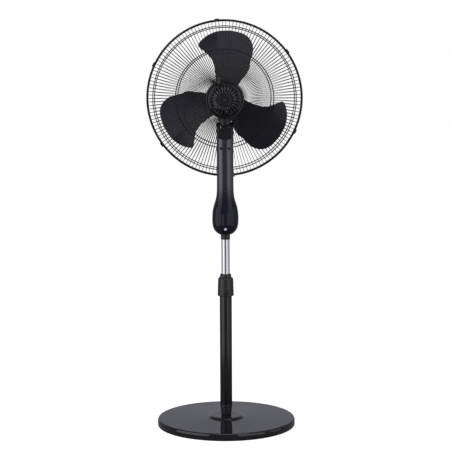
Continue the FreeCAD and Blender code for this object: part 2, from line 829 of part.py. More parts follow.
def front_cover():
    wall = cover_wall
    y = front_face_y
    outer = turned_y([(0, seam_y), (front_cover_r, seam_y), (front_cover_r, y - 14), (front_cover_r - 3, y - 5),
                      (front_shoulder_r, y), (threaded_boss_r, y), (threaded_boss_r, y + threaded_boss_len),
                      (0, y + threaded_boss_len)])
    inner = turned_y([(0, seam_y - 1), (front_cover_r - wall, seam_y - 1), (front_cover_r - wall, y - 14.5),
                      (front_cover_r - wall - 3, y - 7), (front_shoulder_r - 1, y - wall), (12, y - wall),
                      (12, y + threaded_boss_len + 1), (0, y + threaded_boss_len + 1)])
    cover = outer.cut(inner)
    vent = box(-2, 2, y - wall - 1, y + 1, axis_z + threaded_boss_r + 4.5, axis_z + front_shoulder_r - 2)
    return cut_round(cover, vent, 18)


# ---- blade ----
def blade_outline():
    """Closed outline of one blade seen from behind: polar points about the shaft."""
    trailing = [(45, 0.17), (45, 0.30), (49, 0.55), (54, 0.65), (59, 0.83), (66, 0.945)]
    tip = [(74, 0.99), (85, 1.0), (96, 0.99), (105, 0.96), (112, 0.915)]
    leading = [(116.5, 0.86), (113, 0.745), (109.3, 0.655), (107.5, 0.55), (108.3, 0.46),
               (111, 0.37), (118, 0.27), (124, 0.17)]
    return trailing, tip, leading


def polar(degrees, share):
    turn = math.radians(degrees)
    return Vector(blade_r * share * math.cos(turn), 0, axis_z + blade_r * share * math.sin(turn))


def smooth_edge(points):
    curve = Part.BSplineCurve()
    curve.interpolate(points)
    return curve.toShape()


def blade_surface():
    """Twisted sheet that the outline is cut from; the leading side lies further back."""
    rows = []
    for step in range(5):
        r = 0.15 * blade_r + step * 0.22 * blade_r
        share = r / blade_r
        middle = hub_y + hub_len / 2 + 1 + 16 * share
        lead = 24 + 14 * share
        row = []
        for column in range(6):
            degrees = 32 + 20 * column
            turn = math.radians(degrees)
            swing = math.radians(degrees - 82)
            camber = 9.0 * share * (1 - (swing / 0.75) ** 2)
            row.append(Vector(r * math.cos(turn), middle - lead * swing + camber, axis_z + r * math.sin(turn)))
        rows.append(row)
    surface = Part.BSplineSurface()
    surface.interpolate(rows)
    return surface.toShape()


def blade():
    trailing, tip, leading = blade_outline()
    side_a = [polar(d, s) for d, s in trailing + tip]
    side_b = [polar(d, s) for d, s in tip[-1:] + leading]
    outline_wire = Part.Wire([smooth_edge(side_a), smooth_edge(side_b), Part.makeLine(side_b[-1], side_a[0])])
    prism = Part.Face(outline_wire).extrude(Vector(0, 120, 0))
    prism.translate(Vector(0, hub_y - 30, 0))
    sheet = blade_surface().extrude(Vector(0, blade_t, 0))
    return sheet.common(prism)


def fan_blade():
    end = hub_y + hub_len
    skirt = hub_r - hub_wall
    cup = turned_y([(0, hub_y), (hub_r, hub_y), (hub_r, end - 8), (hub_r - 6, end), (0, end)])
    hollow = turned_y([(12, hub_y - 1), (skirt, hub_y - 1), (skirt, end - 9), (hub_r - 8, end - 3),
                       (12, end - 3)])
    one = blade().cut(along_y(hub_r - 1.5, hub_y - 30, end + 60))
    body = cup.cut(hollow)
    for index in range(blade_count):
        body = body.fuse(about_shaft(one, 360.0 / blade_count * index))
    body = body.removeSplitter()
    body = body.cut(along_y(shaft_r, hub_y - 1, end + 1))
    return body.cut(blade_pin())


def spinner_nut():
    y = hub_y + hub_len
    body = turned_y([(0, y), (spinner_r, y), (spinner_r - 1, y + 5), (spinner_r - 3.5, y + 7),
                     (spinner_r - 4, y + spinner_len - 2), (spinner_r - 6, y + spinner_len), (0, y + spinner_len)])
    return body.cut(along_y(shaft_r, y - 1, y + 11))


# ---- grilles ----
def grille_lines(front):
    """(radius, y) points of a grille wire: at the plate, at the bend and at the rim."""
    if front:
        start = (badge_r - 6, front_plate_y - wire_r + 0.15)
        return [start, (front_bend_r, front_bend_y), (rim_core_r - rim_wire_r + weld, rim_front_y + 2.2)]
    start = (plate_r - 6, front_face_y + plate_t + wire_r - 0.15)
    return [start, (rear_bend_r, rear_bend_y), (rim_core_r - rim_wire_r + weld, rim_rear_y - 2.2)]


def wire_y(front, r):
    points = grille_lines(front)
    for (r0, y0), (r1, y1) in zip(points, points[1:]):
        if r <= r1:
            return y0 + (y1 - y0) * (r - r0) / (r1 - r0)
    return points[-1][1]


def grille_wire(front):
    """Both halves of one wire, which meet in the middle of its bend."""
    a, b, c = [Vector(r, y, axis_z) for r, y in grille_lines(front)]
    before = (a - b).normalize()
    after = (c - b).normalize()
    half_turn = (math.pi - before.getAngle(after)) / 2
    reach = bend_radius * math.tan(half_turn)
    middle = (before + after).normalize()
    centre = b + middle * (bend_radius / math.cos(half_turn))
    near = b + before * reach
    far = b + after * reach
    crown = centre - middle * bend_radius
    return [wire_half(a, near, crown, centre), wire_half(c, far, crown, centre)]


def wire_half(end, bend_start, crown, centre):
    """Straight run from a wire's end, then half of its bend."""
    way = (bend_start - centre).normalize() + (crown - centre).normalize()
    half_way = centre + way.normalize() * bend_radius
    path = Part.Wire([Part.makeLine(end, bend_start), Part.Arc(bend_start, half_way, crown).toShape()])
    profile = Part.Wire(Part.makeCircle(wire_r, end, bend_start - end))
    return path.makePipeShell([profile], True, True)


def grille_wires(front):
    halves = grille_wire(front)
    pitch = 360.0 / wire_count
    return Part.makeCompound([about_shaft(half, pitch * index) for index in range(wire_count) for half in halves])


def hoop(r, y, thickness):
    return Part.makeTorus(r, thickness, Vector(0, y, axis_z), Vector(0, 1, 0))


def grille_frame(front):
    rim_y = rim_front_y if front else rim_rear_y
    side = -1 if front else 1
    offset = side * (wire_r + ring_wire_r - weld)
    rings = [hoop(rim_core_r, rim_y, rim_wire_r)]
    for r in (front_rings if front else rear_rings):
        slope = (wire_y(front, r + 1) - wire_y(front, r - 1)) / 2
        rings.append(hoop(r, wire_y(front, r) + offset * math.sqrt(1 + slope * slope), ring_wire_r))
    return Part.makeCompound(rings)


def rear_plate():
    y = front_face_y
    return ring_y(plate_r, threaded_boss_r + 0.3, y, y + plate_t)


def grille_nut():
    y = front_face_y + plate_t
    nut = ring_y(threaded_boss_r + nut_wall, threaded_boss_r, y, y + nut_t)
    notch = box(-4, 4, y + 2, y + nut_t + 1, axis_z + threaded_boss_r + 6, axis_z + threaded_boss_r + 12)
    return cut_round(nut, notch, 8)


def front_badge():
    y = front_plate_y
    return turned_y([(0, y), (badge_r - 1, y), (badge_r, y + 1), (badge_r - 3, y + 3.5),
                     (badge_r - 14, y + 4.5), (0, y + 5)])


def clip_angles():
    """Each clip sits midway between two wires, near its even place round the rim."""
    pitch = 360.0 / wire_count
    places = [clip_first_deg + 360.0 / clip_count * index for index in range(clip_count)]
    return [(math.floor(place / pitch) + 0.5) * pitch for place in places]


def rim_clip(degrees):
    inner = rim_core_r + rim_wire_r + 0.4
    outer = inner + clip_t
    y0 = rim_rear_y - rim_wire_r - face_gap - clip_t
    y1 = rim_front_y + rim_wire_r + face_gap + clip_t
    lip_in = rim_core_r - 1.0
    w = clip_lip_half_w
    plate = box(inner, outer, y0, y1, axis_z - clip_half_w, axis_z + clip_half_w)
    rear_lip = box(lip_in, outer, y0, y0 + clip_t, axis_z - w, axis_z + w)
    front_lip = box(lip_in, outer, y1 - clip_t, y1, axis_z - w, axis_z + w)
    return about_shaft(fuse_all([plate, rear_lip, front_lip]), degrees)


# ---- write every node ----
def main():
    os.makedirs("parts", exist_ok=True)
    save("base_cover", base_cover())
    save("base_weight", base_weight())
    save("base_feet", base_feet())
    save("base_nut", base_nut())
    save("tube_foot", tube_foot())
    save("lower_tube", lower_tube())
    save("collet", collet())
    save("lock_collar", lock_collar())
    save("inner_tube", inner_tube())
    save("tube_guide", tube_guide())
    save("tube_socket", tube_socket())
    save("clamp_screw", clamp_screw())
    shell = column_shell()
    save("rear_shell", rear_shell(shell))
    save("front_shell", front_shell(shell))
    save("shell_screws", shell_screws())
    save("control_panel", control_panel())
    save("switch_block", switch_block())
    for name, z in zip(("high", "medium", "low", "off"), button_heights()):
        save("button_" + name, button(z))
    save("capacitor", capacitor())
    save("cord_gland", cord_gland())
    save("tilt_housing", tilt_housing())
    save("tilt_bolt", tilt_bolt())
    save("neck", neck())
    save("pivot_shaft", pivot_shaft())
    save("rear_bracket", rear_bracket())
    save("front_bracket", front_bracket())
    save("shaft_bearings", shaft_bearings())
    save("stator_core", stator_core())
    save("stator_coils", stator_coils())
    save("rotor_core", rotor_core())
    save("motor_shaft", motor_shaft())
    save("blade_pin", blade_pin())
    save("worm_gear", worm_gear())
    save("crank_gear", crank_gear())
    save("drive_link", drive_link())
    save("gearbox_plate", gearbox_plate())
    save("gearbox_case", gearbox_case())
    save("clutch_knob", clutch_knob())
    save("rear_cover", rear_cover())
    save("cover_screw", cover_screw())
    save("front_cover", front_cover())
    save("fan_blade", fan_blade())
    save("spinner_nut", spinner_nut())
    save("rear_grille_wires", grille_wires(False))
    save("rear_grille_frame", grille_frame(False))
    save("rear_plate", rear_plate())
    save("grille_nut", grille_nut())
    save("front_grille_wires", grille_wires(True))
    save("front_grille_frame", grille_frame(True))
    save("front_badge", front_badge())
    for index, degrees in enumerate(clip_angles()):
        save("rim_clip_%d" % (index + 1), rim_clip(degrees))


main()
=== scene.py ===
# %% [markdown]
# # A pedestal fan around its CAD frame
# The CAD model is the frame: it says where every part is and what moves.
# This lesson gives each part the surface that the real one has. The fan
# blows towards +Y, so the camera at -Y looks at its back, with the motor,
# the neck and the column in front of the two wire grilles.

import json
import math

import bmesh
import bpy
from mathutils import Matrix, Vector


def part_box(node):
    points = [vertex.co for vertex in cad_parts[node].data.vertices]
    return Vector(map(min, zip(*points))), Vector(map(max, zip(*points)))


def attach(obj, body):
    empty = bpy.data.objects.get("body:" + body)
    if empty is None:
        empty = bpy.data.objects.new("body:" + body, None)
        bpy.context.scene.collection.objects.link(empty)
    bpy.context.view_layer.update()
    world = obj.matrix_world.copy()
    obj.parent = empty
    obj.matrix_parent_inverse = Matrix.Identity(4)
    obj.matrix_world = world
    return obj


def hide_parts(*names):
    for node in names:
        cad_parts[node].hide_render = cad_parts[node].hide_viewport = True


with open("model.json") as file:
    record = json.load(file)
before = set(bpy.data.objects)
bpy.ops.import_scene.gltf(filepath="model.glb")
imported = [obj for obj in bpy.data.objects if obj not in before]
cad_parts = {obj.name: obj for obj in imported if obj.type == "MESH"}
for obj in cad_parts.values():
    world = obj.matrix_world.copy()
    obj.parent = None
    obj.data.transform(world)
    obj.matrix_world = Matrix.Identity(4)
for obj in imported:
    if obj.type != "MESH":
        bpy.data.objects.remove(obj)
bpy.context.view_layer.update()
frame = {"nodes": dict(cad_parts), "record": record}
scene = bpy.context.scene
mm = 0.001

# %% [markdown]
# ## The camera
# A fan is best shown from a few metres away through a long lens, so that the
# round grille stays round. The camera stands a little above the head and is
# tipped down at the middle of the pole. Tipping the camera keeps its shift at
# nought, so the other views stay centred too.

# %% Camera
camera_place = Vector((-0.0226, -4.241, 1.0801))
camera_tip = math.radians(6.568)
camera_turn = math.radians(-0.290)
camera_roll = math.radians(-0.283)


def add_camera():
    data = bpy.data.cameras.new("studio_camera")
    data.sensor_width = 36.0
    data.lens = 117.37
    camera = bpy.data.objects.new("studio_camera", data)
    scene.collection.objects.link(camera)
    upright = Matrix.Rotation(camera_turn, 4, "Z") @ Matrix.Rotation(math.pi / 2 - camera_tip, 4, "X")
    camera.matrix_world = Matrix.Translation(camera_place) @ upright @ Matrix.Rotation(camera_roll, 4, "Z")
    scene.camera = camera
    return camera


camera = add_camera()
print("camera", round(camera_place.length, 2), "m away, lens", camera.data.lens)

# %% [markdown]
# ## Floor, sky and lamps
# Gloss black plastic shows only what it reflects, so the lamps are laid out
# by the reflections that they make. A tall soft box at each side draws the
# pale bands down the column and the tubes. The side behind the camera stays
# dim, which keeps their middles dark, and a dim card behind the fan is what
# the flat top of the base mirrors. The floor and the sky are plain and pale.
# The floor is kept out of the reflections, as a matt black cloth laid round
# the fan would do, so that it doesn't grey the sides of the black parts.

# %% Floor
floor_size = 60.0


def add_floor():
    bpy.ops.mesh.primitive_plane_add(size=floor_size)
    plane = bpy.context.active_object
    plane.name = "floor"
    material = bpy.data.materials.new("pale_floor")
    material.use_nodes = True
    shader = material.node_tree.nodes["Principled BSDF"]
    shader.inputs["Base Color"].default_value = (0.5, 0.5, 0.5, 1)
    shader.inputs["Roughness"].default_value = 0.9
    shader.inputs["Specular IOR Level"].default_value = 0.0
    shader.inputs["Emission Color"].default_value = (1, 1, 1, 1)
    shader.inputs["Emission Strength"].default_value = 0.90
    plane.data.materials.append(material)
    plane.visible_glossy = False
    plane.visible_diffuse = False
    plane.visible_shadow = False
    return plane


floor = add_floor()

# %% Sky
scene.view_settings.view_transform = "Standard"
world = bpy.data.worlds.new("studio")
scene.world = world
world.use_nodes = True


def build_sky(seen=1.0, reflected=0.20):
    nodes = world.node_tree.nodes
    links = world.node_tree.links
    nodes.clear()
    path = nodes.new("ShaderNodeLightPath")
    bright = nodes.new("ShaderNodeBackground")
    bright.inputs["Color"].default_value = (1, 1, 1, 1)
    bright.inputs["Strength"].default_value = seen
    dim = nodes.new("ShaderNodeBackground")
    dim.inputs["Color"].default_value = (0.96, 0.96, 1.04, 1)
    dim.inputs["Strength"].default_value = reflected
    mix = nodes.new("ShaderNodeMixShader")
    out = nodes.new("ShaderNodeOutputWorld")
    links.new(path.outputs["Is Camera Ray"], mix.inputs["Fac"])
    links.new(dim.outputs["Background"], mix.inputs[1])
    links.new(bright.outputs["Background"], mix.inputs[2])
    links.new(mix.outputs["Shader"], out.inputs["Surface"])


build_sky()

# %% Soft boxes
def soft_box(name, bearing, away, middle_z, width, height, glow, tilt_to=None, blue=1.04):
    """A lamp panel at a bearing in degrees from the camera's side, positive to the right."""
    turn = math.radians(bearing)
    place = Vector((away * math.sin(turn), -away * math.cos(turn), middle_z))
    aim = Vector((0, 0, middle_z if tilt_to is None else tilt_to))
    data = bpy.data.lights.new(name, "AREA")
    data.shape = "RECTANGLE"
    data.size = width
    data.size_y = height
    data.energy = math.pi * glow * width * height
    data.color = (0.97, 0.97, blue)
    lamp = bpy.data.objects.new(name, data)
    lamp.location = place
    lamp.rotation_euler = (aim - place).to_track_quat("-Z", "Y").to_euler()
    lamp.visible_camera = False
    scene.collection.objects.link(lamp)
    return lamp


soft_box("box_left", -58, 3.0, 1.4, 3.4, 4.0, 1.45)
soft_box("box_right", 42, 3.0, 1.4, 2.6, 4.0, 1.05)
soft_box("box_right_side", 86, 3.0, 1.4, 1.4, 4.0, 0.45)
soft_box("box_behind", 180, 3.2, 1.0, 4.0, 1.9, 0.195, 0.2, blue=1.2)
soft_box("box_top", 20, 0.9, 3.6, 2.4, 2.4, 1.6, 0.9)

# %% [markdown]
# ## Mesh helpers
# Most parts of a fan are turned shapes or moulded boxes. A turned shape is an
# outline spun round an axis; its corners are rounded first, because a real
# moulding has no knife edge. A moulded box starts from a copy of its CAD mesh:
# the flat triangles are joined into faces, sharp edges are marked, and a
# Bevel modifier rounds them.

# %% Turned shapes
def rounded(points, radius, steps=4):
    """The outline with each corner replaced by a small arc; None keeps a corner sharp."""
    result = []
    count = len(points)
    for index, point in enumerate(points):
        here = Vector(point)
        before = Vector(points[index - 1]) - here
        after = Vector(points[(index + 1) % count]) - here
        reach = min(radius, before.length * 0.45, after.length * 0.45)
        if reach < 1e-6 or before.angle(after, math.pi) > math.radians(172):
            result.append(here)
            continue
        start = here + before.normalized() * reach
        end = here + after.normalized() * reach
        for step in range(steps + 1):
            t = step / steps
            result.append(start * (1 - t) ** 2 + here * 2 * t * (1 - t) + end * t * t)
    return result


def turned_mesh(name, outline, axis="Z", centre=(0, 0, 0), steps=96, wave=None):
    """Spins a closed (radius, height) outline; wave(angle, height) may scale the radius."""
    rings = []
    verts = []
    for radius, height in outline:
        if radius < 1e-7:
            rings.append([len(verts)] * steps)
            verts.append(Vector((0, 0, height)))
            continue
        ring = []
        for step in range(steps):
            angle = 2 * math.pi * step / steps
            r = radius * (wave(angle, height) if wave else 1)
            ring.append(len(verts))
            verts.append(Vector((r * math.cos(angle), r * math.sin(angle), height)))
        rings.append(ring)
    faces = []
    count = len(rings)
    for index in range(count):
        lower, upper = rings[index], rings[(index + 1) % count]
        for step in range(steps):
            turn = (step + 1) % steps
            face = [lower[step], lower[turn], upper[turn], upper[step]]
            face = [v for k, v in enumerate(face) if v not in face[:k]]
            if len(face) > 2:
                faces.append(face)
    turn = Matrix.Identity(4)
    if axis == "Y":
        turn = Matrix.Rotation(math.radians(-90), 4, "X")
    place = Matrix.Translation(Vector(centre)) @ turn
    mesh = bpy.data.meshes.new(name)
    mesh.from_pydata([place @ v for v in verts], [], faces)
    return tidy_mesh(mesh)


def tidy_mesh(mesh, sharp=32.0, merge=1e-6):
    """Merges doubles, points every face outwards and smooths all but the sharp edges."""
    work = bmesh.new()
    work.from_mesh(mesh)
    bmesh.ops.remove_doubles(work, verts=work.verts, dist=merge)
    bmesh.ops.dissolve_degenerate(work, edges=work.edges, dist=merge)
    bmesh.ops.recalc_face_normals(work, faces=work.faces)
    work.to_mesh(mesh)
    work.free()
    mesh.shade_smooth()
    mesh.set_sharp_from_angle(angle=math.radians(sharp))
    return mesh


# %% Pieces and modifiers
record = frame["record"]
node_slot = {part["node"]: part["material_slot"] for part in record["subparts"]}
node_body = {node: body for body, nodes in record["behaviour"]["bodies"].items() for node in nodes}


def piece(name, mesh, node, material=None):
    """Links a finished mesh, rides it on the CAD node's body and stands it in for the node."""
    if not mesh.polygons:
        raise ValueError(name + " has no faces")
    thing = bpy.data.objects.new(name, mesh)
    scene.collection.objects.link(thing)
    if material is not None:
        mesh.materials.clear()
        mesh.materials.append(material)
    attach(thing, node_body[node])
    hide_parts(node)
    return thing


def baked(mesh, *modifiers):
    """The mesh after the modifiers, each given as (type, settings), as a plain mesh."""
    thing = bpy.data.objects.new("work", mesh)
    scene.collection.objects.link(thing)
    for kind, settings in modifiers:
        modifier = thing.modifiers.new(kind, kind)
        for key, value in settings.items():
            setattr(modifier, key, value)
    done = evaluated_mesh(thing)
    bpy.data.objects.remove(thing)
    return done


def evaluated_mesh(thing):
    bpy.context.view_layer.update()
    graph = bpy.context.evaluated_depsgraph_get()
    return bpy.data.meshes.new_from_object(thing.evaluated_get(graph))


def bevel(width, segments=2, angle=30.0):
    settings = {"width": width, "segments": segments, "limit_method": "ANGLE",
                "angle_limit": math.radians(angle), "harden_normals": True}
    return ("BEVEL", settings)


def from_cad(node, width=0.5 * mm, segments=2, flat=1.5):
    """A copy of a CAD node's mesh with its flats joined and its edges rounded."""
    mesh = frame["nodes"][node].data.copy()
    work = bmesh.new()
    work.from_mesh(mesh)
    bmesh.ops.remove_doubles(work, verts=work.verts, dist=2e-6)
    bmesh.ops.dissolve_limit(work, angle_limit=math.radians(flat), verts=work.verts, edges=work.edges)
    work.to_mesh(mesh)
    work.free()
    mesh.shade_smooth()
    mesh.set_sharp_from_angle(angle=math.radians(30))
    if width:
        mesh = baked(mesh, bevel(width, segments))
    return mesh


# %% [markdown]
# ## Geometry Nodes helper
# A grille has 134 wires, a motor cover has two dozen ribs. What repeats is
# made once and copied by a small node tree. Each tree has named inputs; they
# are set on the modifier by the socket's identifier before it is evaluated,
# and the result becomes a plain mesh. One tree copies any mesh round the
# shaft; the other turns a drawn line into a bent round bar first, so it can
# make both the grille wires and the ribs of the motor cover.

# %% Node tree tools
def new_tree(name, inputs):
    """A geometry tree with (name, socket type, default) inputs and a Geometry output."""
    tree = bpy.data.node_groups.new(name, "GeometryNodeTree")
    tree.interface.new_socket("Geometry", in_out="INPUT", socket_type="NodeSocketGeometry")
    tree.interface.new_socket("Geometry", in_out="OUTPUT", socket_type="NodeSocketGeometry")
    for label, kind, default in inputs:
        socket = tree.interface.new_socket(label, in_out="INPUT", socket_type="NodeSocket" + kind)
        if default is not None:
            socket.default_value = default
    start = tree.nodes.new("NodeGroupInput")
    end = tree.nodes.new("NodeGroupOutput")
    return tree, start, end


def run_tree(mesh, tree, **values):
    """Evaluates the tree on the mesh with the named inputs set and returns a plain mesh."""
    thing = bpy.data.objects.new("work", mesh)
    scene.collection.objects.link(thing)
    modifier = thing.modifiers.new("tree", "NODES")
    modifier.node_group = tree
    for item in tree.interface.items_tree:
        key = item.name.lower().replace(" ", "_")
        if item.item_type == "SOCKET" and item.in_out == "INPUT" and key in values:
            modifier[item.identifier] = values[key]
    done = evaluated_mesh(thing)
    bpy.data.objects.remove(thing)
    return done


def around_shaft_tree():
    """Copies a mesh, drawn about the origin, evenly round the motor shaft."""
    inputs = [("Count", "Int", 6), ("First Angle", "Float", 0.0), ("Shaft Height", "Float", 0.0),
              ("Finish", "Material", None)]
    tree, start, end = new_tree("around_shaft", inputs)
    make = tree.nodes.new
    link = tree.links.new
    points = make("GeometryNodePoints")
    height = make("ShaderNodeCombineXYZ")
    number = make("GeometryNodeInputIndex")
    share = make("ShaderNodeMath")
    share.operation = "DIVIDE"
    turn = make("ShaderNodeMath")
    turn.operation = "MULTIPLY_ADD"
    turn.inputs[1].default_value = -2 * math.pi
    flip = make("ShaderNodeMath")
    flip.operation = "MULTIPLY"
    flip.inputs[1].default_value = -1.0
    spin = make("ShaderNodeCombineXYZ")
    copies = make("GeometryNodeInstanceOnPoints")
    real = make("GeometryNodeRealizeInstances")
    finish = make("GeometryNodeSetMaterial")
    link(start.outputs["Count"], points.inputs["Count"])
    link(start.outputs["Shaft Height"], height.inputs["Z"])
    link(height.outputs[0], points.inputs["Position"])
    link(number.outputs[0], share.inputs[0])
    link(start.outputs["Count"], share.inputs[1])
    link(share.outputs[0], turn.inputs[0])
    link(start.outputs["First Angle"], flip.inputs[0])
    link(flip.outputs[0], turn.inputs[2])
    link(turn.outputs[0], spin.inputs["Y"])
    link(points.outputs[0], copies.inputs["Points"])
    link(start.outputs["Geometry"], copies.inputs["Instance"])
    link(spin.outputs[0], copies.inputs["Rotation"])
    link(copies.outputs[0], real.inputs[0])
    link(real.outputs[0], finish.inputs["Geometry"])
    link(start.outputs["Finish"], finish.inputs["Material"])
    link(finish.outputs[0], end.inputs["Geometry"])
    return tree


around_shaft = around_shaft_tree()

# %% Bars round the shaft
def bars_tree():
    """Rounds the bends of a drawn line, gives it thickness and copies it round the shaft."""
    inputs = [("Count", "Int", 12), ("Bar Radius", "Float", 0.001), ("Bend Radius", "Float", 0.05),
              ("Bend Steps", "Int", 7), ("Shaft Height", "Float", 0.0), ("Finish", "Material", None)]
    tree, start, end = new_tree("bars_round_shaft", inputs)
    make = tree.nodes.new
    link = tree.links.new
    curve = make("GeometryNodeMeshToCurve")
    fillet = make("GeometryNodeFilletCurve")
    if hasattr(fillet, "mode"):
        fillet.mode = "POLY"
    fillet.inputs["Limit Radius"].default_value = True
    profile = make("GeometryNodeCurvePrimitiveCircle")
    profile.inputs["Resolution"].default_value = 8
    solid = make("GeometryNodeCurveToMesh")
    solid.inputs["Fill Caps"].default_value = True
    repeat = make("GeometryNodeGroup")
    repeat.node_tree = around_shaft
    smooth = make("GeometryNodeSetShadeSmooth")
    link(start.outputs["Geometry"], curve.inputs["Mesh"])
    link(curve.outputs["Curve"], fillet.inputs["Curve"])
    link(start.outputs["Bend Radius"], fillet.inputs["Radius"])
    link(start.outputs["Bend Steps"], fillet.inputs["Count"])
    link(start.outputs["Bar Radius"], profile.inputs["Radius"])
    link(fillet.outputs["Curve"], solid.inputs["Curve"])
    link(profile.outputs["Curve"], solid.inputs["Profile Curve"])
    link(solid.outputs["Mesh"], smooth.inputs["Geometry"])
    link(smooth.outputs["Geometry"], repeat.inputs["Geometry"])
    link(start.outputs["Count"], repeat.inputs["Count"])
    link(start.outputs["Shaft Height"], repeat.inputs["Shaft Height"])
    link(start.outputs["Finish"], repeat.inputs["Finish"])
    link(repeat.outputs["Geometry"], end.inputs["Geometry"])
    return tree


def drawn_line(line):
    """(radius, y) points joined by edges, ready for the tree."""
    mesh = bpy.data.meshes.new("drawn_line")
    mesh.from_pydata([(r, y, 0) for r, y in line], [(k, k + 1) for k in range(len(line) - 1)], [])
    return mesh


bars_round_shaft = bars_tree()

# %% [markdown]
# ## Finishes
# Every finish is a node material on Object coordinates, so that it sticks to
# the part. Gloss plastic is nearly black with a faint moulding ripple and
# fine dust; satin plastic has a spark-eroded grain; the wire is powder coated.
# The numbers that are the same all over sit on the shader's own sockets. The
# column is satin and the pod below it is polished, though they are one
# moulding, so that finish blends its roughness by height. It lowers the
# specular level there too, which is painted shade that darkens the pod.

# %% Material tools
def shader_of(material):
    material.use_nodes = True
    return material.node_tree.nodes["Principled BSDF"]


def noise_of(tree, scale, detail=3.0, stretch=(1, 1, 1), rough=0.55):
    place = tree.nodes.new("ShaderNodeTexCoord")
    mapping = tree.nodes.new("ShaderNodeMapping")
    mapping.inputs["Scale"].default_value = stretch
    noise = tree.nodes.new("ShaderNodeTexNoise")
    noise.inputs["Scale"].default_value = scale
    noise.inputs["Detail"].default_value = detail
    noise.inputs["Roughness"].default_value = rough
    tree.links.new(place.outputs["Object"], mapping.inputs["Vector"])
    tree.links.new(mapping.outputs["Vector"], noise.inputs["Vector"])
    return noise.outputs["Fac"]


def ramp_of(tree, source, low, high, low_at=0.35, high_at=0.65):
    ramp = tree.nodes.new("ShaderNodeValToRGB")
    ramp.color_ramp.elements[0].position = low_at
    ramp.color_ramp.elements[0].color = (*low, 1)
    ramp.color_ramp.elements[1].position = high_at
    ramp.color_ramp.elements[1].color = (*high, 1)
    tree.links.new(source, ramp.inputs["Fac"])
    return ramp.outputs["Color"]


def range_of(tree, source, low, high):
    node = tree.nodes.new("ShaderNodeMapRange")
    node.inputs["From Min"].default_value = 0.3
    node.inputs["From Max"].default_value = 0.7
    node.inputs["To Min"].default_value = low
    node.inputs["To Max"].default_value = high
    tree.links.new(source, node.inputs["Value"])
    return node.outputs["Result"]


def bump_of(tree, source, distance, strength=1.0):
    bump = tree.nodes.new("ShaderNodeBump")
    bump.inputs["Distance"].default_value = distance
    bump.inputs["Strength"].default_value = strength
    tree.links.new(source, bump.inputs["Height"])
    return bump.outputs["Normal"]


def finish(name, colours, rough, grain, grain_depth, metal=0.0, coat=0.0, level=0.5,
           patch=40.0, stretch=(1, 1, 1)):
    """One finish: two close colours in soft patches, a roughness range and a fine grain."""
    material = bpy.data.materials.new(name)
    shader = shader_of(material)
    tree = material.node_tree
    soft = noise_of(tree, patch, 4.0, stretch)
    tree.links.new(ramp_of(tree, soft, *colours), shader.inputs["Base Color"])
    fine = noise_of(tree, patch * 6, 5.0, stretch, 0.7)
    tree.links.new(range_of(tree, fine, *rough), shader.inputs["Roughness"])
    tree.links.new(bump_of(tree, noise_of(tree, grain, 2.0, stretch), grain_depth), shader.inputs["Normal"])
    shader.inputs["Metallic"].default_value = metal
    shader.inputs["Specular IOR Level"].default_value = level
    shader.inputs["Coat Weight"].default_value = coat
    shader.inputs["Coat Roughness"].default_value = 0.08
    return material


# %% Finishes of the visible parts
gloss_black = finish("gloss_black_plastic", ((0.008, 0.008, 0.010), (0.011, 0.011, 0.013)),
                     (0.05, 0.09), 160, 0.008 * mm)
column_black = finish("column_black_plastic", ((0.009, 0.009, 0.019), (0.012, 0.012, 0.024)),
                      (0.20, 0.27), 300, 0.02 * mm, level=0.9)
dull_black = finish("dull_black_plastic", ((0.007, 0.007, 0.009), (0.010, 0.010, 0.012)),
                    (0.34, 0.46), 1200, 0.03 * mm, level=0.3)
satin_black = finish("satin_black_plastic", ((0.010, 0.010, 0.013), (0.015, 0.015, 0.018)),
                     (0.32, 0.44), 1400, 0.03 * mm)
tube_paint = finish("tube_gloss_paint", ((0.008, 0.008, 0.010), (0.011, 0.011, 0.013)),
                    (0.12, 0.18), 500, 0.015 * mm, level=0.38)
wire_paint = finish("wire_powder_coat", ((0.005, 0.005, 0.006), (0.008, 0.008, 0.009)),
                    (0.40, 0.52), 2200, 0.02 * mm, level=0.3)
blade_plastic = finish("blade_plastic", ((0.018, 0.018, 0.026), (0.022, 0.022, 0.031)),
                       (0.24, 0.32), 900, 0.02 * mm, level=0.35, patch=18)
button_plastic = finish("button_grey_plastic", ((0.18, 0.18, 0.19), (0.21, 0.21, 0.22)),
                        (0.36, 0.46), 1600, 0.02 * mm)
rubber = finish("black_rubber", ((0.014, 0.014, 0.014), (0.022, 0.022, 0.022)), (0.7, 0.85), 900, 0.05 * mm)
chrome = finish("chrome_plate", ((0.55, 0.55, 0.57), (0.62, 0.62, 0.64)), (0.10, 0.16), 220,
                0.006 * mm, metal=1.0, patch=60, stretch=(1, 1, 0.08))
black_zinc = finish("black_zinc_screw", ((0.035, 0.035, 0.038), (0.06, 0.06, 0.064)), (0.3, 0.42), 900,
                    0.01 * mm, metal=0.8)
bright_zinc = finish("bright_zinc_screw", ((0.80, 0.80, 0.82), (0.88, 0.88, 0.90)), (0.45, 0.6), 900,
                     0.01 * mm, metal=0.6)
zinc = finish("zinc_plated_steel", ((0.58, 0.58, 0.60), (0.72, 0.72, 0.74)), (0.22, 0.36), 900,
              0.01 * mm, metal=1.0)
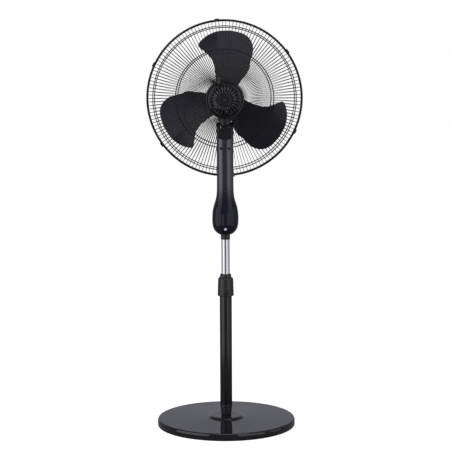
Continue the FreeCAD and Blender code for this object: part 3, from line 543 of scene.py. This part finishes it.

# %% Column finish with a polished pod and painted shade
def polish_and_shade_below(material, full_z, none_z, rough, level):
    """Blends roughness to polished values below a height; the lower specular level there is painted shade."""
    tree = material.node_tree
    shader = tree.nodes["Principled BSDF"]
    place = tree.nodes.new("ShaderNodeTexCoord")
    split = tree.nodes.new("ShaderNodeSeparateXYZ")
    share = tree.nodes.new("ShaderNodeMapRange")
    share.interpolation_type = "SMOOTHSTEP"
    share.inputs["From Min"].default_value = full_z
    share.inputs["From Max"].default_value = none_z
    tree.links.new(place.outputs["Object"], split.inputs["Vector"])
    tree.links.new(split.outputs["Z"], share.inputs["Value"])
    usual = {"Roughness": shader.inputs["Roughness"].links[0].from_socket, "Specular IOR Level": None}
    for name, low in (("Roughness", rough), ("Specular IOR Level", level)):
        mix = tree.nodes.new("ShaderNodeMix")
        mix.inputs["A"].default_value = low
        mix.inputs["B"].default_value = shader.inputs[name].default_value
        tree.links.new(share.outputs["Result"], mix.inputs["Factor"])
        if usual[name]:
            tree.links.new(usual[name], mix.inputs["B"])
        tree.links.new(mix.outputs["Result"], shader.inputs[name])


# Below the pod's shoulder the roughness drops for polish and the specular level drops as painted shade.
polish_and_shade_below(column_black, 655 * mm, 720 * mm, 0.08, 0.2)

# %% Finishes of the inner parts, some darkened as painted shade
cast_iron = finish("cast_iron", ((0.09, 0.09, 0.09), (0.15, 0.145, 0.14)), (0.6, 0.8), 420,
                   0.2 * mm, metal=0.6)
# The die-cast alloy is coloured far darker than bare alloy: painted shade for the dark inside of the motor
# seen through the vents.
die_cast_painted_shade = finish("die_cast_alloy", ((0.17, 0.17, 0.18), (0.25, 0.25, 0.26)), (0.5, 0.7), 800,
                  0.05 * mm, metal=0.8)
bronze = finish("sintered_bronze", ((0.38, 0.24, 0.10), (0.50, 0.33, 0.15)), (0.4, 0.6), 1500,
                0.03 * mm, metal=1.0)
# The winding copper is darker than bare copper: partly its varnish, partly painted shade for the inside of
# the motor.
copper = finish("varnished_copper", ((0.20, 0.06, 0.02), (0.32, 0.11, 0.04)), (0.3, 0.45), 1800,
                0.1 * mm, metal=1.0, stretch=(1, 0.2, 1))
# The gears are white nylon but are coloured dark grey: painted shade for the inside of the motor head.
gear_plastic_painted_shade = finish("gear_nylon", ((0.06, 0.06, 0.06), (0.09, 0.09, 0.088)), (0.45, 0.6), 700, 0.02 * mm)
pale_plastic = finish("capacitor_case", ((0.60, 0.60, 0.57), (0.68, 0.68, 0.65)), (0.35, 0.5), 700, 0.02 * mm)

slot_finish = {"gloss_black": gloss_black, "satin_black": satin_black, "painted_tube": tube_paint,
               "wire_black": wire_paint, "blade_plastic": blade_plastic, "chrome": chrome,
               "steel": zinc, "cast_iron": cast_iron, "cast_aluminium": die_cast_painted_shade, "rubber": rubber,
               "bronze": bronze, "copper": copper, "button_grey": button_plastic,
               "capacitor_case": pale_plastic, "gear_white": gear_plastic_painted_shade}
for node, thing in frame["nodes"].items():
    thing.data.materials.clear()
    thing.data.materials.append(slot_finish[node_slot[node]])
print(len(slot_finish), "finishes on", len(frame["nodes"]), "CAD nodes")

# %% [markdown]
# ## The base
# The base is a thin moulded disc over an iron weight. Its top is flat, with a
# shallow raised middle that the pole screws into, and its edge is a soft roll.
# An outline turned about Z gives this exactly, so no sculpting is needed.

# %% Base cover
base_low, base_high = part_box("base_cover")
base_r = base_high.x
flat_z = 22 * mm
boss_r = 54 * mm
pole_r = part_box("lower_tube")[1].x
base_skin = 2.5 * mm


def base_outline():
    bottom = base_low.z
    top = base_high.z
    outer = [(10 * mm, top), (boss_r - 11 * mm, top), (boss_r - 7.5 * mm, top - 1.0 * mm),
             (boss_r - 5 * mm, top - 3.0 * mm), (boss_r - 2.4 * mm, flat_z + 1.8 * mm), (boss_r, flat_z),
             (base_r - 5.5 * mm, flat_z), (base_r - 3 * mm, flat_z - 0.7 * mm),
             (base_r - 1.2 * mm, flat_z - 2.4 * mm), (base_r, flat_z - 6 * mm),
             (base_r, bottom + 1.5 * mm), (base_r - 1 * mm, bottom)]
    inner = [(base_r - 4.5 * mm, bottom), (base_r - 6.5 * mm, flat_z - 5 * mm),
             (base_r - 12 * mm, flat_z - base_skin), (boss_r - 4 * mm, flat_z - base_skin),
             (boss_r - 14 * mm, top - 3.4 * mm), (10 * mm, top - 3.4 * mm)]
    return rounded(outer + inner, 2.0 * mm, 5)


piece("base_disc", turned_mesh("base_disc", base_outline(), steps=192), "base_cover", gloss_black)
for node in ("base_feet", "base_nut", "base_weight"):
    piece(node + "_part", from_cad(node, 0.6 * mm), node, slot_finish[node_slot[node]])
print("base", round(base_r * 2, 3), "m across")

# %% [markdown]
# ## The pole
# The pole is a painted steel tube with a tapered foot, a twist collar and a
# chrome tube that slides in it. They are all turned shapes. The collar has an
# arched thumb pad, which is a moulded block joined to the turned body.

# %% Tubes
def tube_outline(node, wall, lip=0.4 * mm):
    low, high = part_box(node)
    r = high.x
    return rounded([(r - wall, low.z), (r, low.z), (r, high.z), (r - wall, high.z)], lip, 3)


foot_low, foot_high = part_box("tube_foot")
foot_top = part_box("lower_tube")[0].z
foot_line = [(0, foot_low.z), (9 * mm, foot_low.z), (9 * mm, base_high.z), (pole_r - 3.3 * mm, base_high.z),
             (pole_r - 2.4 * mm, base_high.z + 8 * mm), (pole_r - 0.4 * mm, foot_top - 5 * mm),
             (pole_r, foot_top - 1 * mm),
             (pole_r, foot_top), (pole_r - 1.6 * mm, foot_top),
             (pole_r - 1.6 * mm, foot_high.z), (0, foot_high.z)]
piece("pole_foot", turned_mesh("pole_foot", rounded(foot_line, 1.0 * mm)), "tube_foot", satin_black)
piece("pole_tube", turned_mesh("pole_tube", tube_outline("lower_tube", 1.5 * mm)), "lower_tube", tube_paint)
piece("chrome_tube", turned_mesh("chrome_tube", tube_outline("inner_tube", 1.2 * mm)), "inner_tube", chrome)
piece("tube_guide_part", from_cad("tube_guide", 0.4 * mm), "tube_guide", satin_black)
socket_mesh = turned_mesh("pod_socket", tube_outline("tube_socket", 1.5 * mm, 1.2 * mm))
piece("pod_socket", socket_mesh, "tube_socket", satin_black)

# %% Twist collar and its cap
collar_low, collar_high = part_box("lock_collar")
cap_low, cap_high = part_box("collet")
collar_bore = pole_r + 0.15 * mm


def collar_outline():
    z0, z1 = collar_low.z, collar_high.z
    widest = collar_high.x
    return rounded([(collar_bore, z0), (widest - 1 * mm, z0), (widest, z0 + 2 * mm),
                    (widest - 0.7 * mm, z0 + 24 * mm),
                    (widest - 1.5 * mm, z1 - 3 * mm), (widest - 3.7 * mm, z1), (pole_r, z1),
                    (pole_r, z1 - 4 * mm), (collar_bore, z1 - 4.6 * mm)], 1.2 * mm)


def thumb_pad():
    """An arched pad on the collar's rear face, drawn as an outline and thickened."""
    half, base, shoulder = 8.6 * mm, collar_low.z + 6.5 * mm, collar_low.z + 17 * mm
    arch = [(-half, base), (half, base)]
    for step in range(13):
        angle = math.pi * step / 12
        arch.append((half * math.cos(angle), shoulder + half * math.sin(angle)))
    front, back = collar_low.y + 0.1 * mm, -pole_r - 1 * mm
    count = len(arch)
    verts = [(x, y, z) for y in (front, back) for x, z in arch]
    faces = [list(range(count)), list(range(2 * count - 1, count - 1, -1))]
    for index in range(count):
        turn = (index + 1) % count
        faces.append([turn, index, index + count, turn + count])
    mesh = bpy.data.meshes.new("thumb_pad")
    mesh.from_pydata(verts, [], faces)
    return baked(tidy_mesh(mesh), bevel(0.9 * mm, 3))


def joined(name, *meshes):
    work = bmesh.new()
    for mesh in meshes:
        work.from_mesh(mesh)
    whole = bpy.data.meshes.new(name)
    work.to_mesh(whole)
    work.free()
    whole.set_sharp_from_angle(angle=math.radians(32))
    return whole


collar_mesh = joined("twist_collar", turned_mesh("collar_body", collar_outline()), thumb_pad())
piece("twist_collar", collar_mesh, "lock_collar", satin_black)
cap_r = cap_high.x
collet_line = [(12.1 * mm, cap_low.z), (15.4 * mm, cap_low.z), (15.4 * mm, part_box("lower_tube")[1].z),
               (cap_r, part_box("lower_tube")[1].z), (cap_r, cap_high.z - 3 * mm),
               (cap_r - 2.4 * mm, cap_high.z), (12.1 * mm, cap_high.z)]
piece("collar_cap", turned_mesh("collar_cap", rounded(collet_line, 0.9 * mm)), "collet", satin_black)
print("collar from", round(collar_low.z, 3), "to", round(cap_high.z, 3), "m")

# %% [markdown]
# ## Column and control pod
# One pair of mouldings makes both the column and the pod. From the front the
# outline is a slim column that swells into a rounded pod. Rings of a rounded
# oval are stacked along that outline, half of them for each shell, and the
# Solidify modifier gives the wall. The rear shell has a raised rib down to
# its clamp screw and small wells for the shell screws.

# %% Pod outline
shell_low, shell_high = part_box("rear_shell")
pod_half = 38.3 * mm
column_half = 24.2 * mm
depth_share = 0.9
housing_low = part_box("tilt_housing")[0].z + 40 * mm
arc_r = 36.5 * mm
shell_wall = 2.2 * mm
oval_power = 2.25


def pod_outline():
    """(height above the pod's foot, half width) from the foot to the top of the column."""
    swell = pod_half - column_half
    return [(0, 17.0 * mm), (4 * mm, pod_half * 0.62), (9 * mm, pod_half * 0.755),
            (15 * mm, pod_half * 0.865),
            (22 * mm, pod_half * 0.94), (34 * mm, pod_half * 0.988), (49 * mm, pod_half),
            (68 * mm, column_half + swell * 0.9), (84 * mm, column_half + swell * 0.66),
            (99 * mm, column_half + swell * 0.32), (114 * mm, column_half + swell * 0.1),
            (137 * mm, column_half), (285 * mm, column_half)]


def half_width(z):
    """Half width of the pod or column at height z, eased between the outline's points."""
    points = pod_outline()
    rise = min(max(z - shell_low.z, 0.0), points[-1][0])
    spot = max(k for k in range(len(points) - 1) if points[k][0] <= rise)
    before = points[max(spot - 1, 0)]
    start, end = points[spot], points[spot + 1]
    after = points[min(spot + 2, len(points) - 1)]
    span = end[0] - start[0]
    t = (rise - start[0]) / span
    lead_in = (end[1] - before[1]) / (end[0] - before[0]) * span
    lead_out = (after[1] - start[1]) / (after[0] - start[0]) * span
    return ((2 * t ** 3 - 3 * t ** 2 + 1) * start[1] + (t ** 3 - 2 * t ** 2 + t) * lead_in
            + (3 * t ** 2 - 2 * t ** 3) * end[1] + (t ** 3 - t ** 2) * lead_out)


def ease(value):
    value = min(max(value, 0.0), 1.0)
    return value * value * (3 - 2 * value)


# %% Shell surface
screw_low, screw_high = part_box("shell_screws")
screw_head_r = 3.2 * mm
top_screw = (column_half * 0.513, screw_high.z - screw_head_r)
side_screw = (screw_high.x - screw_head_r, screw_low.z + screw_head_r)
screw_spots = [(-top_screw[0], top_screw[1]), top_screw, (0.0, shell_low.z + 126.6 * mm),
               (-side_screw[0], side_screw[1]), side_screw]
clamp_low, clamp_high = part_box("clamp_screw")
clamp_z = (clamp_low.z + clamp_high.z) / 2
rib_half = 6.2 * mm
rib_rise = 1.7 * mm


def oval_depth(x, half):
    share = max(0.0, 1.0 - (abs(x) / half) ** oval_power)
    return half * depth_share * share ** (1 / oval_power)


def shell_grid(side):
    """Half shell as a grid of rings; side is -1 for the rear shell and 1 for the front."""
    rings, columns = 150, 73
    top_z = shell_high.z - 9.5 * mm
    verts = []
    for ring in range(rings):
        z = shell_low.z + (top_z - shell_low.z) * ring / (rings - 1)
        half = half_width(z)
        for column in range(columns):
            turn = math.pi * column / (columns - 1)
            x = (-half * math.cos(turn) * abs(math.cos(turn)) ** (2 / oval_power - 1)
                 if turn != math.pi / 2 else 0.0)
            y = oval_depth(x, half)
            if side < 0:
                flank = ease((rib_half + 1.4 * mm - abs(x)) / (1.8 * mm))
                y += (rib_rise * flank * ease((z - clamp_z + 10 * mm) / (4 * mm))
                      * ease((633 * mm - z) / (14 * mm)))
            lift = arc_r - math.sqrt(arc_r ** 2 - min(abs(x), 24.8 * mm) ** 2)
            rise = ease((z - 770 * mm) / (top_z - 770 * mm))
            target = housing_low + lift - 0.3 * mm
            verts.append((x, side * (y + 0.02 * mm), z + (target - top_z) * rise))
    faces = []
    for ring in range(rings - 1):
        for column in range(columns - 1):
            a = ring * columns + column
            quad = [a, a + 1, a + columns + 1, a + columns]
            faces.append(quad if side < 0 else quad[::-1])
    mesh = bpy.data.meshes.new("shell")
    mesh.from_pydata(verts, [], faces)
    mesh.shade_smooth()
    return mesh


def cylinder_along_y(x, z, r, y0, y1, sides=32):
    outline = [(0, y0), (r, y0), (r, y1), (0, y1)]
    return turned_mesh("tool", [Vector(p) for p in outline], "Y", (x, 0, z), sides)


def carved(mesh, tools):
    """The mesh less every tool mesh."""
    for tool in tools:
        cutter = bpy.data.objects.new("cutter", tool)
        scene.collection.objects.link(cutter)
        mesh = baked(mesh, ("BOOLEAN", {"object": cutter, "operation": "DIFFERENCE", "solver": "EXACT"}))
        bpy.data.objects.remove(cutter)
    return mesh


def rear_surface_y(x, z):
    return -oval_depth(x, half_width(z))


solid_wall = ("SOLIDIFY", {"thickness": shell_wall, "offset": -1.0, "use_even_offset": False})
wells = [cylinder_along_y(x, z, 4.4 * mm, -60 * mm, rear_surface_y(x, z) + 1.2 * mm) for x, z in screw_spots]
gland_low, gland_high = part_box("cord_gland")
gland_x = (gland_low.x + gland_high.x) / 2
gland_z = (gland_low.z + gland_high.z) / 2
rear_tools = wells + [cylinder_along_y(gland_x, gland_z, 4.6 * mm, -60 * mm, -10 * mm)]
rear_mesh = carved(baked(shell_grid(-1), solid_wall), rear_tools)
piece("column_rear_shell", tidy_mesh(rear_mesh, 35), "rear_shell", column_black)

# %% Front shell and control panel
panel_low, panel_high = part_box("control_panel")


def panel_cutter():
    x, z0, z1 = panel_high.x + 0.2 * mm, panel_low.z - 0.2 * mm, panel_high.z + 0.2 * mm
    mesh = bpy.data.meshes.new("panel_cutter")
    work = bmesh.new()
    bmesh.ops.create_cube(work, size=1.0)
    for vert in work.verts:
        vert.co = Vector((vert.co.x * 2 * x, 45 * mm + vert.co.y * 46 * mm,
                          (z0 + z1) / 2 + vert.co.z * (z1 - z0)))
    corner = [e for e in work.edges if abs((e.verts[0].co - e.verts[1].co).normalized().y) > 0.9]
    bmesh.ops.bevel(work, geom=corner, offset=8 * mm, segments=8, profile=0.5, affect="EDGES")
    work.to_mesh(mesh)
    work.free()
    return mesh


front_mesh = carved(baked(shell_grid(1), solid_wall), [panel_cutter()])
piece("column_front_shell", tidy_mesh(front_mesh, 35), "front_shell", column_black)
piece("panel_face", from_cad("control_panel", 0.7 * mm, 3), "control_panel", satin_black)
for speed in ("off", "low", "medium", "high"):
    node = "button_" + speed
    piece(node + "_cap", from_cad(node, 0.25 * mm), node, button_plastic)
print("pod", round(pod_half * 2, 3), "m wide")

# %% [markdown]
# ## Screws
# The shell is held by small pan-head screws with a cross recess. One head is
# turned, its cross is cut with two thin blocks, and the same head is used at
# every place. The larger bright one clamps the pod to the chrome tube.

# %% Screw heads
def cross_blocks(size, depth, x, z, y):
    """The two blocks that cut a cross recess in a head whose face is at y, facing -Y."""
    blocks = []
    for wide, tall in ((size, size * 0.22), (size * 0.22, size)):
        work = bmesh.new()
        made = bmesh.ops.create_cube(work, size=1.0)
        for vert in made["verts"]:
            vert.co = Vector((x + vert.co.x * wide, y + vert.co.y * depth * 2, z + vert.co.z * tall))
        mesh = bpy.data.meshes.new("cross_block")
        work.to_mesh(mesh)
        work.free()
        blocks.append(mesh)
    return blocks


def screw_mesh(x, z, face_y, r, head, length):
    line = [(0, 0), (r * 0.55, 0), (r * 0.9, head * 0.35), (r, head * 0.75), (r, head),
            (r * 0.5, head), (r * 0.5, length), (0, length)]
    mesh = turned_mesh("screw", rounded(line, 0.3 * mm, 3), "Y", (x, face_y, z), 32)
    return carved(mesh, cross_blocks(r * 1.1, head * 0.45, x, z, face_y))


heads = [screw_mesh(x, z, rear_surface_y(x, z) - 0.6 * mm, screw_head_r, 1.8 * mm, 9 * mm)
         for x, z in screw_spots]
piece("shell_screw_set", tidy_mesh(joined("shell_screws", *heads)), "shell_screws", black_zinc)
clamp_mesh = screw_mesh(0, clamp_z, clamp_low.y, 3.8 * mm, 2.0 * mm, 19.5 * mm)
piece("pod_clamp_screw", tidy_mesh(clamp_mesh), "clamp_screw", bright_zinc)
piece("cord_inlet", from_cad("cord_gland", 0.5 * mm, 3), "cord_gland", satin_black)
cover_screw_low, cover_screw_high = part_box("cover_screw")
shaft_z = (cover_screw_low.z + cover_screw_high.z) / 2
end_screw = screw_mesh(0, shaft_z, cover_screw_low.y, 4.0 * mm, 2.0 * mm, 20 * mm)
piece("motor_cover_screw", tidy_mesh(end_screw), "cover_screw", satin_black)
print(len(heads) + 2, "screws")

# %% [markdown]
# ## Tilt joint and neck
# The block under the head and the neck above it are plain mouldings whose CAD
# shape is right. Their edges are rounded and given a satin finish.

# %% Tilt block and neck
piece("tilt_block", from_cad("tilt_housing", 0.9 * mm, 3), "tilt_housing", dull_black)
piece("head_neck", from_cad("neck", 0.6 * mm, 2), "neck", dull_black)

# %% [markdown]
# ## Motor covers
# The rear cover steps down to a dome with two dozen radial vents and the fins
# between them. The dome is a polar grid whose vent faces are left out before
# the wall is added, so each slot has real edges. Round bars, half sunk in the
# fins, stand up as ribs that catch the light. The step is a bright rolled
# ring. The small knob on top pulls up to stop the head from swinging.

# %% Rear cover
cover_low, cover_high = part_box("rear_cover")
cover_r = cover_high.x
dome_r = 45.5 * mm
dome_start = -38 * mm
dome_end = cover_low.y
dome_top = dome_end + 1.7 * mm
flat_r = 17.5 * mm
vent_count = 24
cells_per_vent = 8
rear_wall = 2.2 * mm


def dome_line():
    """(radius, y) points from the seam over the rolled step and the dome to its end."""
    line = [(cover_r, cover_high.y), (cover_r, -20 * mm), (cover_r, -29 * mm),
            (cover_r - 0.5 * mm, -31.4 * mm), (cover_r - 1.8 * mm, -33.4 * mm),
            (cover_r - 3.6 * mm, -34.0 * mm), (cover_r - 5.6 * mm, -33.6 * mm),
            (cover_r - 7.4 * mm, -32.6 * mm), (dome_r + 0.7 * mm, -33.2 * mm), (dome_r, -36 * mm)]
    steps = 26
    for step in range(steps + 1):
        turn = math.pi / 2 * step / steps
        r = flat_r + (dome_r - flat_r) * max(math.cos(turn), 0.0) ** 0.75
        line.append((r, dome_start + (dome_top - dome_start) * math.sin(turn)))
    line += [(flat_r - 0.4 * mm, dome_top - 0.4 * mm), (flat_r - 0.8 * mm, dome_end + 0.3 * mm)]
    return line + [(flat_r - 1.6 * mm, dome_end), (10 * mm, dome_end), (6 * mm, dome_end),
                   (3 * mm, dome_end + 0.2 * mm), (1.7 * mm, dome_end + 0.2 * mm)]


def rear_cover_grid():
    line = dome_line()
    sectors = vent_count * cells_per_vent
    verts = []
    for r, y in line:
        for sector in range(sectors):
            angle = 2 * math.pi * (sector + 0.5) / sectors
            verts.append((r * math.cos(angle), y, shaft_z + r * math.sin(angle)))
    faces = []
    for index in range(len(line) - 1):
        r0, r1 = line[index][0], line[index + 1][0]
        on_dome = line[index][1] < -50 * mm and 18.5 * mm < r1 and r0 < 42.5 * mm
        for sector in range(sectors):
            if on_dome and sector % cells_per_vent in (2, 3, 4):
                continue
            turn = (sector + 1) % sectors
            row, above = index * sectors, (index + 1) * sectors
            faces.append([row + sector, above + sector, above + turn, row + turn])
    mesh = bpy.data.meshes.new("rear_cover")
    mesh.from_pydata(verts, [], faces)
    return tidy_mesh(mesh)


wall = ("SOLIDIFY", {"thickness": rear_wall, "offset": -1.0, "use_even_offset": True, "thickness_clamp": 1.5})
neck_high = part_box("neck")[1]
knob_low, knob_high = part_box("clutch_knob")
knob_x = (knob_low.x + knob_high.x) / 2
knob_y = (knob_low.y + knob_high.y) / 2


def upright_tool(x, y, r, z0, z1):
    return turned_mesh("tool", [Vector(p) for p in ((0, z0), (r, z0), (r, z1), (0, z1))], "Z", (x, y, 0), 48)


neck_tool = upright_tool(0, 0, 18 * mm, 890 * mm, 930 * mm)
knob_tool = upright_tool(knob_x, knob_y, 2.5 * mm, shaft_z, 1020 * mm)
cover_tools = [neck_tool, knob_tool]
cover_mesh = carved(baked(rear_cover_grid(), wall), cover_tools)
rib_line = [(r, y) for r, y in dome_line() if 18.5 * mm < r < 43 * mm]
cover_ribs = run_tree(drawn_line(rib_line), bars_round_shaft, count=vent_count, bar_radius=1.3 * mm,
                      bend_radius=0.3 * mm, bend_steps=1, shaft_height=shaft_z, finish=gloss_black)
cover_whole = joined("motor_rear_cover", tidy_mesh(cover_mesh, 35), cover_ribs)
piece("motor_rear_cover", cover_whole, "rear_cover", gloss_black)
piece("motor_front_cover", from_cad("front_cover", 0.5 * mm), "front_cover", gloss_black)

# %% Clutch knob
knob_top_r = 6.5 * mm
knob_foot = knob_high.z - 18.5 * mm


def fluted(angle, height):
    return 1.0 - 0.05 * (0.5 + 0.5 * math.cos(12 * angle)) * ease((height - knob_foot - 9 * mm) / (3 * mm))


knob_line = [(0, knob_low.z), (2 * mm, knob_low.z), (2 * mm, knob_foot), (5 * mm, knob_foot),
             (5.4 * mm, knob_foot + 11 * mm), (knob_top_r, knob_foot + 13 * mm),
             (knob_top_r, knob_high.z - 2 * mm),
             (4.6 * mm, knob_high.z), (0, knob_high.z)]
knob_mesh = turned_mesh("clutch_knob", rounded(knob_line, 0.8 * mm), "Z", (knob_x, knob_y, 0), 96, fluted)
piece("swing_knob", knob_mesh, "clutch_knob", satin_black)
print("knob top at", round(knob_high.z, 3), "m")

# %% [markdown]
# ## The blade
# One blade is a twisted sheet. Its outline, seen from behind, runs from a wide
# root to a tip that is swept forward to a point; its depth along the shaft is
# a formula of radius and angle, with a small bend at the swept corner. Rows of
# points between the two edges give the sheet, a wall is added, and a node tree
# copies the blade three times round.

# %% Blade outline
hub_low, hub_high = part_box("fan_blade")
blade_r = 200 * mm
hub_r = 46 * mm
hub_y = hub_low.y
hub_len = 40 * mm
trailing_edge = [(45, 0.215), (45, 0.30), (49, 0.55), (54, 0.65), (59, 0.83), (66, 0.945)]
tip_edge = [(74, 0.99), (85, 1.0), (96, 0.99), (105, 0.96), (112, 0.915)]
leading_edge = [(116.5, 0.86), (113, 0.745), (109.3, 0.655), (107.5, 0.55), (108.3, 0.46), (111, 0.37),
                (118, 0.27), (122, 0.215)]


def flat_point(degrees, share):
    turn = math.radians(degrees)
    return Vector((blade_r * share * math.cos(turn), blade_r * share * math.sin(turn)))


def smooth_run(points, count):
    """Points evenly spaced in number along a Catmull-Rom curve through the given ones."""
    result = []
    for step in range(count):
        place = step / (count - 1) * (len(points) - 1)
        spot = min(int(place), len(points) - 2)
        t = place - spot
        a = points[max(spot - 1, 0)]
        b, c = points[spot], points[spot + 1]
        d = points[min(spot + 2, len(points) - 1)]
        result.append(0.5 * (2 * b + (c - a) * t + (2 * a - 5 * b + 4 * c - d) * t ** 2
                             + (3 * b - a - 3 * c + d) * t ** 3))
    return result


def blade_depth(x, z):
    """Place along the shaft of the blade's rear face at a point seen from behind."""
    share = math.hypot(x, z) / blade_r
    swing = math.atan2(z, x) - math.radians(82)
    middle = hub_y + hub_len / 2 + (1 + 16 * share) * mm
    camber = 9.0 * share * (1 - (swing / 0.75) ** 2) * mm
    corner = 110 * max(swing - 0.26, 0.0) * max(share - 0.62, 0.0) * mm
    return middle - (24 + 14 * share) * swing * mm + camber + corner


def blade_sheet():
    rows, across = 46, 30
    left = smooth_run([flat_point(*p) for p in trailing_edge + tip_edge[:2]], rows)
    right = smooth_run([flat_point(*p) for p in (leading_edge[::-1] + tip_edge[:2:-1])], rows)
    crown = smooth_run([flat_point(*p) for p in tip_edge[1:4]], across)
    verts = []
    for row in range(rows):
        pull = ease((row / (rows - 1) - 0.55) / 0.45)
        for column in range(across):
            t = column / (across - 1)
            flat = left[row].lerp(right[row], t)
            bulge = crown[column] - left[-1].lerp(right[-1], t)
            spot = flat + bulge * pull
            verts.append((spot.x, blade_depth(spot.x, spot.y), spot.y))
    faces = []
    for row in range(rows - 1):
        for column in range(across - 1):
            a = row * across + column
            faces.append([a, a + across, a + across + 1, a + 1])
    mesh = bpy.data.meshes.new("blade")
    mesh.from_pydata(verts, [], faces)
    return tidy_mesh(mesh)


def hub_outline():
    end = hub_y + hub_len
    y = hub_y
    return rounded([(4 * mm, y), (12 * mm, y), (12 * mm, end - 3 * mm), (hub_r - 8 * mm, end - 3 * mm),
                    (hub_r - 2.5 * mm, end - 9 * mm), (hub_r - 2.5 * mm, y), (hub_r, y),
                    (hub_r, end - 8 * mm),
                    (hub_r - 6 * mm, end), (4 * mm, end)], 1.2 * mm)


blade_wall = ("SOLIDIFY", {"thickness": 2.4 * mm, "offset": 0.0, "use_even_offset": True})
one_blade = baked(blade_sheet(), blade_wall, bevel(0.9 * mm, 3, 50))
three_blades = run_tree(one_blade, around_shaft, count=3, shaft_height=shaft_z, finish=blade_plastic)
hub_mesh = turned_mesh("hub", hub_outline(), "Y", (0, 0, shaft_z), 128)
fan_mesh = joined("impeller", three_blades, hub_mesh)
piece("impeller", fan_mesh, "fan_blade", blade_plastic)
piece("spinner_cap", from_cad("spinner_nut", 0.5 * mm, 3), "spinner_nut", satin_black)
print("impeller", round(blade_r * 2, 2), "m across,", len(fan_mesh.polygons), "faces")

# %% [markdown]
# ## The grilles
# Each grille is 134 thin wires welded to two rings and a rim. A wire is drawn
# as three points, plate, bend and rim. The tree of bars rounds the bend, gives
# the wire its thickness and copies it round the shaft, so one change of a
# number redraws the whole grille.

# %% Grille wires
wire_count = 134
wire_r = 0.75 * mm
rim_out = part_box("rear_grille_frame")[1].x
rim_core = rim_out - 3.2 * mm
rear_wires_low, rear_wires_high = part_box("rear_grille_wires")
front_wires_low, front_wires_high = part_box("front_grille_wires")
rear_line = [(44 * mm, rear_wires_low.y + wire_r), (rim_out - 67.5 * mm, 84 * mm),
             (rim_core - 2.9 * mm, 127.8 * mm)]
front_line = [(44 * mm, front_wires_high.y - wire_r), (rim_out - 74.5 * mm, 181 * mm),
              (rim_core - 2.9 * mm, 139.6 * mm)]


def grille(line):
    return run_tree(drawn_line(line), bars_round_shaft, count=wire_count, bar_radius=wire_r,
                    bend_radius=60 * mm, bend_steps=7, shaft_height=shaft_z, finish=wire_paint)


piece("rear_wires", grille(rear_line), "rear_grille_wires", wire_paint)
piece("front_wires", grille(front_line), "front_grille_wires", wire_paint)

# %% Rings and rims
def hoop(r, y, thick, sides=14, steps=224):
    line = []
    for side in range(sides):
        angle = 2 * math.pi * side / sides
        line.append(Vector((r + thick * math.cos(angle), y + thick * math.sin(angle))))
    return turned_mesh("hoop", line, "Y", (0, 0, shaft_z), steps)


def line_y(line, r):
    for (r0, y0), (r1, y1) in zip(line, line[1:]):
        if r <= r1:
            return y0 + (y1 - y0) * (r - r0) / (r1 - r0)
    return line[-1][1]


def ring_set(name, line, radii, rim_y, inward):
    hoops = [hoop(rim_core, rim_y, 3.2 * mm, 18)]
    for r in radii:
        slope = (line_y(line, r + mm) - line_y(line, r - mm)) / (2 * mm)
        offset = inward * 1.85 * mm * math.sqrt(1 + slope * slope)
        hoops.append(hoop(r, line_y(line, r) + offset, 1.4 * mm, 12))
    return joined(name, *hoops)


rear_rim_low, rear_rim_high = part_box("rear_grille_frame")
front_rim_low, front_rim_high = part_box("front_grille_frame")
rear_rings = ring_set("rear_rings", rear_line, (rim_out - 88 * mm, rim_out - 20 * mm), 130.0 * mm, 1)
front_rings = ring_set("front_rings", front_line, (rim_out - 92.5 * mm, rim_out - 24 * mm), 137.4 * mm, -1)
piece("rear_rings", rear_rings, "rear_grille_frame", wire_paint)
piece("front_rings", front_rings, "front_grille_frame", wire_paint)
print("grille", wire_count, "wires each side")

# %% Plates, nut and clips
piece("rear_centre_plate", from_cad("rear_plate", 0.4 * mm), "rear_plate", wire_paint)
piece("grille_ring_nut", from_cad("grille_nut", 0.7 * mm, 3), "grille_nut", satin_black)
badge_low, badge_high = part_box("front_badge")
badge_r = badge_high.x
badge_line = [(0, badge_low.y), (badge_r - 1 * mm, badge_low.y), (badge_r, badge_low.y + 1.2 * mm),
              (badge_r - 3 * mm, badge_high.y - 1.4 * mm), (badge_r - 12 * mm, badge_high.y - 0.5 * mm),
              (badge_r - 13 * mm, badge_high.y - 1.3 * mm), (badge_r - 14.5 * mm, badge_high.y - 1.3 * mm),
              (badge_r - 15.5 * mm, badge_high.y - 0.4 * mm), (0, badge_high.y)]
badge_mesh = turned_mesh("badge", rounded(badge_line, 0.8 * mm), "Y", (0, 0, shaft_z), 128)
piece("front_centre_plate", badge_mesh, "front_badge", gloss_black)
for number in range(1, 7):
    node = "rim_clip_%d" % number
    piece("clip_%d" % number, from_cad(node, 0.5 * mm, 3), node, satin_black)
